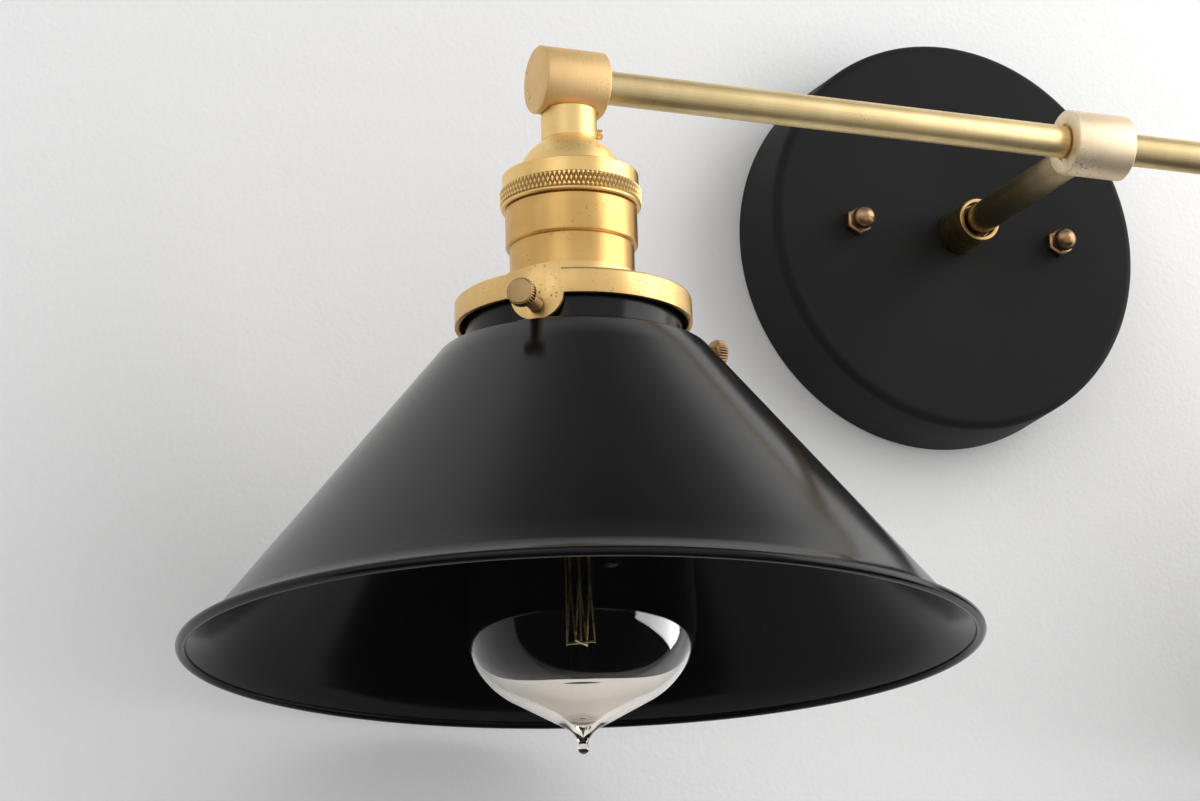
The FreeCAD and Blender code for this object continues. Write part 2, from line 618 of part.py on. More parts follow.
def make_socket_shell():
    """Threaded top, wide part, rounded step, narrow part and a bead that carries the holder."""
    wide = SHELL_WIDE_DIA / 2
    narrow = SHELL_NARROW_DIA / 2
    thread = SHELL_THREAD_DIA / 2
    inner = narrow - SHELL_WALL
    top_inner = thread - SHELL_WALL
    step_foot = SHELL_WIDE_FOOT - SHELL_STEP
    step_round = arc_from((wide, SHELL_WIDE_FOOT), (0, -1), (narrow, step_foot))
    bead_top = HOLDER_TOP + HOLDER_RISE - HOLDER_WALL
    bead_middle = (narrow + SHELL_BEAD_DEPTH, bead_top - SHELL_BEAD_HEIGHT / 2)
    shelf = SHELL_WIDE_TOP - SHELL_WALL
    return turned(
        (top_inner, SHELL_THREAD_TOP), (thread, SHELL_THREAD_TOP), (thread, SHELL_WIDE_TOP),
        (wide, SHELL_WIDE_TOP), (wide, SHELL_WIDE_FOOT), step_round,
        (narrow, bead_top), (bead_middle, (narrow, bead_top - SHELL_BEAD_HEIGHT)), (narrow, SHELL_FOOT),
        (inner, SHELL_FOOT), (inner, shelf), (top_inner, shelf))


def make_socket_body():
    """Porcelain cup with a floor at the top and a well for the screw shell."""
    outer = BODY_DIA / 2
    well = BODY_WELL_DIA / 2
    return turned((0, BODY_TOP), (outer, BODY_TOP), (outer, BODY_FOOT), (well, BODY_FOOT),
                  (well, BODY_FLOOR), (0, BODY_FLOOR))


def make_screw_shell():
    """Sheet-metal shell that the bulb's base stands in."""
    outer_dia = SCREW_SHELL_BORE + 2 * SCREW_SHELL_WALL
    return tube(outer_dia, SCREW_SHELL_BORE, BODY_FLOOR, BODY_FOOT + SCREW_SHELL_INSET)


def make_centre_contact():
    """Button on the floor of the porcelain well."""
    return rod(UP * CONTACT_FACE, UP, CONTACT_DIA / 2, CONTACT_THICK)


# Shade holder and thumb screws

def around(angle):
    """Unit vector that points outwards at an angle about the lamp's axis."""
    turn = math.radians(angle)
    return Vector(math.cos(turn), math.sin(turn), 0)


def holder_tab():
    """Raised end of the holder's split edge: a piece of ring that rises to a square cut."""
    outer = HOLDER_DIA / 2
    low = HOLDER_TOP - HOLDER_EDGE_RADIUS
    ring = tube(HOLDER_DIA, HOLDER_INSIDE_DIA, HOLDER_TOP + TAB_HEIGHT, low)
    span = math.radians(TAB_END_ANGLE - TAB_START_ANGLE)
    far = HOLDER_DIA
    wedge = Part.Face(Part.makePolygon([
        Vector(0, 0, low), Vector(far, 0, low),
        Vector(far * math.cos(span), far * math.sin(span), low), Vector(0, 0, low)]))
    wedge = wedge.extrude(UP * (TAB_HEIGHT + HOLDER_EDGE_RADIUS))
    piece = ring.common(wedge.rotated(Vector(0, 0, 0), UP, TAB_START_ANGLE))
    slope = math.degrees(math.atan2(TAB_HEIGHT, outer * span))
    start = around(TAB_START_ANGLE) * outer + UP * HOLDER_TOP
    lid = Part.makeBox(far, far, far, Vector(-far / 2, -far / 4, 0))
    lid.Placement = FreeCAD.Placement(
        start, Rotation(UP, TAB_START_ANGLE).multiply(Rotation(TO_RIGHT, slope)))
    return piece.cut(lid)


def make_shade_holder():
    """Low cone and skirt with three round ears, a collar round the shell and a raised tab."""
    outer = HOLDER_DIA / 2
    inner = HOLDER_INSIDE_DIA / 2
    hole = SHELL_NARROW_DIA / 2 + SNUG_GAP
    collar = hole + HOLDER_COLLAR_WALL
    collar_foot = HOLDER_TOP + HOLDER_RISE
    collar_top = collar_foot + HOLDER_COLLAR_HEIGHT
    foot = HOLDER_TOP - HOLDER_SKIRT
    below_edge = HOLDER_TOP - HOLDER_EDGE_RADIUS
    edge_start, edge_arc = corner_arc((outer - HOLDER_EDGE_RADIUS, below_edge), HOLDER_EDGE_RADIUS, 90, 0)
    holder = turned(
        (hole, collar_top), (collar, collar_top), (collar, collar_foot), edge_start, edge_arc,
        (outer, foot), (inner, foot), (inner, HOLDER_TOP - HOLDER_WALL),
        (collar, collar_foot - HOLDER_WALL), (hole, collar_foot - HOLDER_WALL))
    ear_ring = tube(HOLDER_DIA, HOLDER_INSIDE_DIA, below_edge, EAR_CENTRE - EAR_RADIUS)
    pieces = [holder, holder_tab()]
    for angle in SCREW_ANGLES:
        ear = rod(UP * EAR_CENTRE, around(angle), EAR_RADIUS, HOLDER_DIA)
        pieces.append(ear_ring.common(ear))
    holder = joined(pieces)
    for angle in SCREW_ANGLES:
        holder = holder.cut(rod(UP * SCREW_HEIGHT, around(angle), SCREW_DIA / 2 + SNUG_GAP, HOLDER_DIA))
    return holder


def make_thumb_screw(angle):
    """Screw with a drum head: its chamfered tip stands just off the shade's neck."""
    shank = SCREW_DIA / 2
    head = SCREW_HEAD_DIA / 2
    screw = turned(
        (0, 0), (shank - END_CHAMFER, 0), (shank, END_CHAMFER), (shank, SCREW_SHANK),
        (head - END_CHAMFER, SCREW_SHANK), (head, SCREW_SHANK + END_CHAMFER),
        (head, SCREW_LENGTH - END_CHAMFER), (head - END_CHAMFER, SCREW_LENGTH), (0, SCREW_LENGTH))
    outward = around(angle)
    screw.Placement = FreeCAD.Placement(outward * SCREW_TIP + UP * SCREW_HEIGHT, Rotation(UP, outward))
    return screw


# Shade

def shade_outline(offset):
    """Steps of the shade's outside, from shoulder to flare, or of its inside at an offset."""
    rim = (SHADE_DIA - SHADE_BEAD_DIA) / 2
    flare_top = (rim - SHADE_FLARE_WIDTH, SHADE_RIM_HEIGHT + SHADE_FLARE_HEIGHT)
    centre = (SHADE_SHOULDER_DIA / 2, SHADE_SHOULDER_TOP - SHADE_SHOULDER_RADIUS)
    run = flare_top[0] - centre[0]
    drop = centre[1] - flare_top[1]
    lean = math.asin(SHADE_SHOULDER_RADIUS / math.hypot(run, drop)) + math.atan2(run, drop)
    start, round_over = corner_arc(centre, SHADE_SHOULDER_RADIUS - offset, 90, 90 - math.degrees(lean))
    cone_end = (flare_top[0] - math.cos(lean) * offset, flare_top[1] - math.sin(lean) * offset)
    flare_end = (rim, SHADE_RIM_HEIGHT + SHADE_WALL / 2 - offset)
    flare = arc_from(cone_end, (math.sin(lean), -math.cos(lean)), flare_end)
    return start, round_over, cone_end, flare


def make_shade():
    """Lip, neck, shoulder, cone, flare and rolled rim, one wall thick throughout."""
    neck = SHADE_NECK_DIA / 2
    lip = SHADE_LIP_DIA / 2
    inner_neck = neck - SHADE_WALL
    lip_foot = SHADE_NECK_TOP - SHADE_LIP_HEIGHT
    out_start, out_round, out_cone, out_flare = shade_outline(0)
    in_start, in_round, in_cone, in_flare = shade_outline(SHADE_WALL)
    fillet_start, fillet_arc = corner_arc(
        (neck + SHADE_WALL, SHADE_SHOULDER_TOP + SHADE_WALL), SHADE_WALL, 180, 270)
    cone = turned(
        (inner_neck, SHADE_NECK_TOP), (lip, SHADE_NECK_TOP), (lip, lip_foot), (neck, lip_foot),
        fillet_start, fillet_arc, out_start, out_round, out_cone, out_flare,
        in_flare[1], (in_flare[0], in_cone), in_round[1], (in_round[0], in_start),
        (inner_neck, SHADE_SHOULDER_TOP - SHADE_WALL))
    bead_radius = SHADE_BEAD_DIA / 2
    bead = Part.makeTorus(SHADE_DIA / 2 - bead_radius, bead_radius, UP * SHADE_RIM_HEIGHT)
    return joined([cone, bead])


# Bulb

def make_bulb_base():
    """Screw part of the bulb's base: a thin tube with rounded ribs."""
    root = BASE_DIA / 2 - BASE_RIB_DEPTH
    ribs = int(BASE_LENGTH // BASE_RIB_PITCH)
    steps = []
    for rib in range(ribs):
        top = BASE_TOP - rib * BASE_RIB_PITCH
        steps.append(((BASE_DIA / 2, top - BASE_RIB_PITCH / 2), (root, top - BASE_RIB_PITCH)))
    return turned((BASE_INSIDE_DIA / 2, BASE_TOP), (root, BASE_TOP), *steps,
                  (root, BASE_FOOT), (BASE_INSIDE_DIA / 2, BASE_FOOT))


def make_bulb_insulator():
    """Cone of dark glass between the contact and the screw part."""
    contact = BASE_CONTACT_DIA / 2
    foot = INSULATOR_DIA / 2
    inside = BASE_INSIDE_DIA / 2
    top = BASE_FACE - BASE_CONTACT_THICK
    shelf = BASE_TOP + BASE_CONTACT_THICK
    plug = BASE_TOP - BASE_CONTACT_THICK
    return turned((0, top), (contact, top), (foot, shelf), (foot, BASE_TOP), (inside, BASE_TOP),
                  (inside, plug), (0, plug))


def make_bulb_contact():
    """Soldered button at the end of the base."""
    return rod(UP * (BASE_FACE - BASE_CONTACT_THICK), UP, BASE_CONTACT_DIA / 2, BASE_CONTACT_THICK)


def glass_side(height, offset):
    """Radius of the glass's side, or of its inside at an offset: an arc that is upright at the widest."""
    run = (BULB_DIA - GLASS_SHOULDER_DIA) / 2
    rise = GLASS_SHOULDER - BULB_WIDEST
    radius = (run ** 2 + rise ** 2) / (2 * run)
    return BULB_DIA / 2 - radius + math.sqrt((radius - offset) ** 2 - (height - BULB_WIDEST) ** 2)


def glass_outline(offset):
    """Steps of the glass from the top of its neck to the widest height, at an offset inwards."""
    neck = GLASS_NECK_DIA / 2 - offset
    middle_height = (GLASS_SHOULDER + BULB_WIDEST) / 2
    shoulder = (glass_side(GLASS_SHOULDER, offset), GLASS_SHOULDER)
    lean = (shoulder[0] - glass_side(middle_height, offset), GLASS_SHOULDER - middle_height)
    neck_round = arc_from(shoulder, lean, (neck, BASE_FOOT))
    side_middle = (glass_side(middle_height, offset), middle_height)
    return (neck, GLASS_TOP), (neck, BASE_FOOT), neck_round[0], shoulder, side_middle


def bowl_outline(offset, radius, turn, end):
    """Widest point, round and straight foot of the bowl, along its outside or its inside."""
    centre = (BULB_DIA / 2 - offset - radius, BULB_WIDEST)
    widest, bend = corner_arc(centre, radius, 0, -turn)
    run = bend[1][0] - end
    return widest, bend, (end, bend[1][1] - run / math.tan(math.radians(turn)))


def make_bulb_glass():
    """Clear envelope with a thick foot, drawn out to a sealed tip that ends in a drop."""
    top, neck, neck_middle, shoulder, side_middle = glass_outline(0)
    in_top, in_neck, in_neck_middle, in_shoulder, in_side_middle = glass_outline(GLASS_WALL)
    widest, bend, foot = bowl_outline(0, BOWL_ROUND_RADIUS, BOWL_TURN, TIP_TOP_DIA / 2)
    in_widest, in_bend, in_foot = bowl_outline(GLASS_WALL, FOOT_ROUND_RADIUS, FOOT_TURN, TIP_BORE_DIA / 2)
    tip = TIP_NECK_DIA / 2
    tip_height = foot[1] - TIP_NECK_LENGTH
    turn = math.radians(BOWL_TURN)
    draw = arc_from(foot, (-math.sin(turn), -math.cos(turn)), (tip, tip_height))
    envelope = turned(top, neck, (neck_middle, shoulder), (side_middle, widest), bend, foot, draw,
                      (0, tip_height), (0, tip_height + TIP_FLOOR_THICK), in_foot, in_bend[1],
                      (in_bend[0], in_widest), (in_side_middle, in_shoulder),
                      (in_neck_middle, in_neck), in_top)
    drop = TIP_DROP_DIA / 2
    drop_centre = tip_height - math.sqrt(drop ** 2 - tip ** 2)
    return joined([envelope, Part.makeSphere(drop, UP * drop_centre)])


def make_bulb_mount():
    """Glass flare, rod and button that carry the filament."""
    flare = MOUNT_FLARE_DIA / 2
    thin = MOUNT_ROD_DIA / 2
    button = MOUNT_BUTTON_DIA / 2
    flare_foot = BASE_FOOT - MOUNT_FLARE_LENGTH
    rim_top = BASE_FOOT + MOUNT_RIM_HEIGHT
    flare_round = arc_from((thin, flare_foot), (0, 1), (flare, BASE_FOOT))
    return turned((0, rim_top), (flare, rim_top), (flare, BASE_FOOT), (flare_round[0], (thin, flare_foot)),
                  (thin, MOUNT_FOOT + button), ((button, MOUNT_FOOT + button / 2), (thin, MOUNT_FOOT)),
                  (0, MOUNT_FOOT))


def thick_line(points, dia):
    """One solid along straight runs, with a ball at each point."""
    pieces = []
    for start, end in zip(points, points[1:]):
        run = end - start
        pieces.append(rod(start, run, dia / 2, run.Length))
    pieces.extend(Part.makeSphere(dia / 2, point) for point in points)
    return joined(pieces)


def hook_directions():
    """Directions of the filament's hooks: upper and lower ones take turns."""
    return [around(360.0 * step / (2 * FILAMENT_TURNS)) for step in range(2 * FILAMENT_TURNS)]


def filament_points():
    """Corners of the filament: up and down round a ring of hooks."""
    points = []
    for step, outward in enumerate(hook_directions()):
        height = FILAMENT_TOP if step % 2 == 0 else FILAMENT_FOOT
        points.append(outward * (FILAMENT_RING_DIA / 2) + UP * height)
    return points


def make_bulb_wires():
    """Support wires: from the button out to the upper hooks, and a rod down to the lower hooks."""
    reach = (FILAMENT_RING_DIA - FILAMENT_DIA) / 2 - SNUG_GAP
    button = MOUNT_BUTTON_DIA / 2
    upper = []
    lower = [rod(UP * FILAMENT_FOOT, UP, WIRE_DIA / 2, MOUNT_FOOT - FILAMENT_FOOT)]
    for step, outward in enumerate(hook_directions()):
        if step % 2 == 0:
            start = outward * (button + SNUG_GAP) + UP * FILAMENT_TOP
            upper.append(rod(start, outward, WIRE_DIA / 2, reach - button - SNUG_GAP))
        else:
            start = UP * (FILAMENT_FOOT + WIRE_DIA / 2)
            lower.append(rod(start, outward, WIRE_DIA / 2, reach))
    return Part.Compound([joined(lower)] + upper)


# Assembly

def at_lamp(shape, side):
    """Move a lamp's piece from its own axis to its place; the right lamp mirrors the left one."""
    if side > 0:
        shape = shape.mirror(Vector(0, 0, 0), TO_RIGHT)
    return shape.translated(Vector(side * LAMP_OFFSET, ARM_Y, 0))


def lamp_nodes(name, side):
    """All the nodes of one lamp, by name."""
    pieces = {
        "socket_cap": make_socket_cap(),
        "knurled_ring": make_knurled_ring(),
        "socket_shell": make_socket_shell(),
        "socket_body": make_socket_body(),
        "screw_shell": make_screw_shell(),
        "centre_contact": make_centre_contact(),
        "shade_holder": make_shade_holder(),
        "shade": make_shade(),
        "bulb_base": make_bulb_base(),
        "bulb_insulator": make_bulb_insulator(),
        "bulb_contact": make_bulb_contact(),
        "bulb_glass": make_bulb_glass(),
        "bulb_mount": make_bulb_mount(),
        "bulb_wires": make_bulb_wires(),
        "bulb_filament": thick_line(filament_points(), FILAMENT_DIA),
    }
    for number, angle in enumerate(SCREW_ANGLES, start=1):
        pieces[f"thumb_screw_{number}"] = make_thumb_screw(angle)
    nodes = {f"{name}_{piece}": at_lamp(shape, side) for piece, shape in pieces.items()}
    nodes[f"{name}_elbow"] = make_elbow(side)
    nodes[f"{name}_arm"] = make_arm(side)
    return nodes


def both_lamps(shape):
    """The same piece on both lamps, as one group."""
    return Part.Compound([at_lamp(shape, side) for side in SIDES.values()])


def make_nodes():
    """Every node of the light, by name."""
    nodes = {
        "canopy": make_canopy(),
        "crossbar": make_crossbar(),
        "canopy_studs": make_canopy_studs(),
        "stud_nuts": make_stud_nuts(),
        "ball_nuts": make_ball_nuts(),
        "ground_screw": make_ground_screw(),
        "canopy_collar": make_canopy_collar(),
        "stem_washer": make_stem_washer(),
        "stem_locknut": make_stem_locknut(),
        "stem_rod": make_stem_rod(),
        "hub": make_hub(),
        "lamp_leads": make_lamp_leads(),
        "socket_nipples": both_lamps(make_socket_nipple()),
        "cap_set_screws": both_lamps(make_cap_set_screw()),
    }
    for name, side in SIDES.items():
        nodes.update(lamp_nodes(name, side))
    return nodes


def main():
    """Write one STEP file for each node."""
    os.makedirs("parts", exist_ok=True)
    for name, shape in make_nodes().items():
        if not shape.isValid():
            print("not valid:", name)
        solids = len(shape.Solids)
        print(f"{name}: {solids} solid(s), {shape.Volume:.1f} cubic mm")
        shape.exportStep(f"parts/{name}.step")


main()
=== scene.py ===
"""Vanity light, dressed: a black canopy and cone shades with turned brass fittings and clear bulbs.

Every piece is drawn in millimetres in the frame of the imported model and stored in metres.
A lamp is drawn about its own axis and then set at its place on the left or on the right.
"""
import logging
import math
from dataclasses import dataclass, field
from enum import Enum

import bmesh
import bpy
from mathutils import Matrix, Vector


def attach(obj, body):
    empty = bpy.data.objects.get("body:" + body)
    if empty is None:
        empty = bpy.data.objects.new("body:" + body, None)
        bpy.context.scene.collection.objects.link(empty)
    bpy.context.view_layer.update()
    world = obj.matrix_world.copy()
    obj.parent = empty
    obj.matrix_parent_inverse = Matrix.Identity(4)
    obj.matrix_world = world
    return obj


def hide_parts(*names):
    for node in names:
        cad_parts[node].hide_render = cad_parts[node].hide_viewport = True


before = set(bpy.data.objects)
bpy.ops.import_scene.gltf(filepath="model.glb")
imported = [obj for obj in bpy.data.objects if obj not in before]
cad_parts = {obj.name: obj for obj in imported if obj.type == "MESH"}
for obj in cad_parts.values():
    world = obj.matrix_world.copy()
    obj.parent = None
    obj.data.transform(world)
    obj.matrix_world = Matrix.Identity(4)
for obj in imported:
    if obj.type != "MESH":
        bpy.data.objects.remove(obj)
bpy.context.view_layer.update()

MM = 0.001
TINY = 1e-6
CREASE = math.radians(38.0)
BEVEL_CREASE = math.radians(40.0)
FLAT_CREASE = math.radians(0.4)
ROUNDED_CREASE = math.radians(24.0)
ROUNDED_SHARE = 0.42
Point = tuple[float, float]
LOG = logging.getLogger("vanity_light")


class Side(Enum):
    """The two lamps, with the way that each lies along X."""

    LEFT = -1
    RIGHT = 1

    @property
    def prefix(self) -> str:
        """Start of the names of this lamp's nodes and bodies."""
        return self.name.lower()


class Axis(Enum):
    """Ways that a turned piece can point, as the matrix that turns +Z that way."""

    UP = "up"
    ROOM = "room"
    RIGHT = "right"

    @property
    def matrix(self) -> Matrix:
        """Rotation from +Z to this way."""
        turns = {"up": (0.0, "X"), "room": (90.0, "X"), "right": (90.0, "Y")}
        angle, about = turns[self.value]
        return Matrix.Rotation(math.radians(angle), 4, about)


class Grain(Enum):
    """Ways that fine tool marks can run on brass, as a scale of the surface map in 1/m."""

    ROUND = (45.0, 5200.0, 1.0)
    ALONG = (2600.0, 14.0, 1.0)
    CROSS = (4200.0, 90.0, 90.0)
    CLOUD = (160.0, 160.0, 160.0)


# Outlines

def arc_points(centre: Point, radius: float, start: float, end: float, steps: int) -> list[Point]:
    """Points on an arc, both ends included.

    Args:
        centre: Centre of the arc.
        radius: Radius of the arc.
        start: First angle in degrees.
        end: Last angle in degrees.
        steps: Number of steps along the arc.

    Returns:
        The points in order.
    """
    angles = [math.radians(start + (end - start) * step / steps) for step in range(steps + 1)]
    return [(centre[0] + radius * math.cos(a), centre[1] + radius * math.sin(a)) for a in angles]


def tangent_arc(start: Point, heading: Point, end: Point, steps: int) -> list[Point]:
    """Points on an arc that leaves a point along a heading.

    Args:
        start: First point.
        heading: Direction at the first point.
        end: Last point.
        steps: Number of steps along the arc.

    Returns:
        The points in order, both ends included.
    """
    chord = Vector(end) - Vector(start)
    leave = Vector(heading).normalized()
    side = Vector((-leave.y, leave.x))
    reach = chord.dot(side)
    radius = chord.length_squared / (2.0 * reach)
    centre = Vector(start) + side * radius
    first = math.degrees(math.atan2(start[1] - centre.y, start[0] - centre.x))
    sweep = math.degrees(2.0 * math.atan2(reach, chord.dot(leave)))
    return arc_points((centre.x, centre.y), abs(radius), first, first + sweep, steps)


def softened(points: list[Point], radius: float) -> list[Point]:
    """A closed outline with its sharp corners rounded.

    Args:
        points: Corners in order.
        radius: Largest radius of a corner.

    Returns:
        The outline with three short runs in place of each sharp corner.
    """
    result: list[Point] = []
    for index, corner in enumerate(points):
        here = Vector(corner)
        before = Vector(points[index - 1]) - here
        after = Vector(points[(index + 1) % len(points)]) - here
        if here.x < TINY or min(before.length, after.length) < TINY:
            result.append(corner)
            continue
        turn = math.pi - before.angle(after)
        if turn < ROUNDED_CREASE:
            result.append(corner)
            continue
        cut = min(radius * math.tan(turn / 2.0), ROUNDED_SHARE * min(before.length, after.length))
        first = here + before.normalized() * cut
        last = here + after.normalized() * cut
        for step in range(4):
            share = step / 3.0
            way = first.lerp(here, share).lerp(here.lerp(last, share), share)
            result.append((way.x, way.y))
    return result


# Meshes

def new_object(name: str, mesh: bpy.types.Mesh) -> bpy.types.Object:
    """Link a mesh into the scene as an object at the origin."""
    item = bpy.data.objects.new(name, mesh)
    bpy.context.scene.collection.objects.link(item)
    return item


def place_at(axis: Axis, x: float = 0.0, y: float = 0.0, z: float = 0.0) -> Matrix:
    """Matrix that turns a piece from +Z to an axis and moves it, with the place in millimetres."""
    return Matrix.Translation(Vector((x, y, z)) * MM) @ axis.matrix


def turned_mesh(name: str, outline: list[Point], place: Matrix, segments: int = 128) -> bpy.types.Mesh:
    """Turn a closed outline about +Z, with a surface map in metres.

    Args:
        name: Name of the mesh.
        outline: Radius and height of each point in millimetres.
        place: Matrix to the piece's place.
        segments: Number of steps round the axis.

    Returns:
        A closed mesh that is smooth except at sharp corners.
    """
    form = bmesh.new()
    layer = form.loops.layers.uv.new("UVMap")
    angles = [2.0 * math.pi * step / segments + math.pi / 2.0 for step in range(segments)]
    rings = []
    for radius, height in outline:
        if radius < TINY:
            rings.append([form.verts.new(place @ Vector((0.0, 0.0, height * MM)))])
            continue
        spots = [Vector((radius * math.cos(a), radius * math.sin(a), height)) * MM for a in angles]
        rings.append([form.verts.new(place @ spot) for spot in spots])
    widest = max(point[0] for point in outline) * MM
    run = [0.0]
    for start, end in zip(outline, outline[1:] + outline[:1]):
        run.append(run[-1] + math.dist(start, end) * MM)
    for index, ring in enumerate(rings):
        following = rings[(index + 1) % len(rings)]
        for step in range(segments):
            corners = _quad(ring, following, step, segments)
            if len(corners) < 3:
                continue
            face = form.faces.new([vert for vert, _, _ in corners])
            face.smooth = True
            for loop, (_, across, along) in zip(face.loops, corners):
                loop[layer].uv = ((step + across) * 2.0 * math.pi * widest / segments, run[index + along])
    bmesh.ops.recalc_face_normals(form, faces=form.faces)
    mesh = bpy.data.meshes.new(name)
    form.to_mesh(mesh)
    form.free()
    mesh.set_sharp_from_angle(angle=CREASE)
    return mesh


def _quad(ring: list, following: list, step: int, segments: int) -> list[tuple]:
    """Corners of one face between two rings, with their steps across and along the map."""
    beside = (step + 1) % segments
    if len(ring) == 1 and len(following) == 1:
        return []
    if len(ring) == 1:
        return [(ring[0], 0.5, 0), (following[beside], 1, 1), (following[step], 0, 1)]
    if len(following) == 1:
        return [(ring[step], 0, 0), (ring[beside], 1, 0), (following[0], 0.5, 1)]
    return [(ring[step], 0, 0), (ring[beside], 1, 0), (following[beside], 1, 1), (following[step], 0, 1)]


def joined_mesh(name: str, meshes: list[bpy.types.Mesh]) -> bpy.types.Mesh:
    """Put several meshes together as one, keeping their surface maps.

    Args:
        name: Name of the new mesh.
        meshes: Meshes to put together, which are removed.

    Returns:
        The new mesh.
    """
    form = bmesh.new()
    for mesh in meshes:
        if "cavity" not in mesh.attributes:
            mesh.attributes.new("cavity", "FLOAT", "POINT")
        form.from_mesh(mesh)
    whole = bpy.data.meshes.new(name)
    form.to_mesh(whole)
    form.free()
    for mesh in meshes:
        bpy.data.meshes.remove(mesh)
    whole.set_sharp_from_angle(angle=CREASE)
    return whole


def copied_mesh(name: str, node: str, bevel: float) -> bpy.types.Mesh:
    """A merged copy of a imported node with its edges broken.

    Args:
        name: Name of the new mesh.
        node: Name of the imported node.
        bevel: Width of the broken edges in millimetres, or 0 for none.

    Returns:
        The new mesh.
    """
    form = bmesh.new()
    form.from_mesh(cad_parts[node].data)
    bmesh.ops.remove_doubles(form, verts=form.verts, dist=TINY)
    bmesh.ops.dissolve_limit(form, angle_limit=FLAT_CREASE, verts=form.verts, edges=form.edges)
    mesh = bpy.data.meshes.new(name)
    form.to_mesh(mesh)
    form.free()
    mesh.shade_smooth()
    if bevel > 0.0:
        item = new_object(name, mesh)
        edge = item.modifiers.new("broken_edges", "BEVEL")
        edge.width = bevel * MM
        edge.segments = 2
        edge.limit_method = "ANGLE"
        edge.angle_limit = BEVEL_CREASE
        mesh = evaluated_mesh(item, name)
        bpy.data.objects.remove(item)
    mesh.set_sharp_from_angle(angle=CREASE)
    return mesh


def evaluated_mesh(item: bpy.types.Object, name: str) -> bpy.types.Mesh:
    """The plain mesh that an object's modifiers give."""
    graph = bpy.context.evaluated_depsgraph_get()
    mesh = bpy.data.meshes.new_from_object(item.evaluated_get(graph))
    mesh.name = name
    return mesh


# Node trees

class Tree:
    """A small builder for node trees."""

    def __init__(self, tree: bpy.types.NodeTree) -> None:
        """Start with an empty tree."""
        self.tree = tree
        self.tree.nodes.clear()

    def node(self, kind: str, values: dict | None = None, **settings: object) -> bpy.types.Node:
        """Add a node.

        Args:
            kind: Type name of the node.
            values: Input names or numbers with a value, or with a socket to link from.
            settings: Properties of the node.

        Returns:
            The node.
        """
        item = self.tree.nodes.new(kind)
        for key, value in settings.items():
            setattr(item, key, value)
        for key, value in (values or {}).items():
            if isinstance(value, bpy.types.NodeSocket):
                self.tree.links.new(value, item.inputs[key])
            else:
                item.inputs[key].default_value = value
        return item

    def math(self, operation: str, *terms: object) -> bpy.types.NodeSocket:
        """Add a maths step and return its result."""
        kind = "ShaderNodeMath"
        return self.node(kind, dict(enumerate(terms)), operation=operation).outputs[0]


class RepeatTree(Tree):
    """A geometry tree with named inputs that ends in Realize Instances and Set Material."""

    def __init__(self, name: str, floats: list[str], whole: list[str]) -> None:
        """Make the tree with its named inputs.

        Args:
            name: Name of the tree.
            floats: Names of the inputs that are sizes.
            whole: Names of the inputs that are counts.
        """
        super().__init__(bpy.data.node_groups.new(name, "GeometryNodeTree"))
        face = self.tree.interface
        face.new_socket("Geometry", in_out="OUTPUT", socket_type="NodeSocketGeometry")
        for label in floats:
            face.new_socket(label, in_out="INPUT", socket_type="NodeSocketFloat")
        for label in whole:
            face.new_socket(label, in_out="INPUT", socket_type="NodeSocketInt")
        face.new_socket("Material", in_out="INPUT", socket_type="NodeSocketMaterial")
        self.inputs = self.node("NodeGroupInput").outputs

    def close(self, geometry: bpy.types.NodeSocket) -> None:
        """End the tree with plain geometry that has its material."""
        real = self.node("GeometryNodeRealizeInstances", {0: geometry})
        dressed = self.node("GeometryNodeSetMaterial", {"Geometry": real.outputs[0],
                                                        "Material": self.inputs["Material"]})
        self.node("NodeGroupOutput", {0: dressed.outputs[0]})

    def mesh(self, name: str, values: dict[str, object], place: Matrix) -> bpy.types.Mesh:
        """Run the tree.

        Args:
            name: Name of the mesh.
            values: Value of each named input.
            place: Matrix to the piece's place.

        Returns:
            The plain mesh.
        """
        item = new_object(name, bpy.data.meshes.new(name))
        modifier = item.modifiers.new("repeat", "NODES")
        modifier.node_group = self.tree
        for socket in self.tree.interface.items_tree:
            if socket.in_out == "INPUT" and socket.name in values:
                modifier[socket.identifier] = values[socket.name]
        mesh = evaluated_mesh(item, name)
        item.modifiers.remove(modifier)
        bpy.data.objects.remove(item)
        mesh.transform(place)
        return mesh


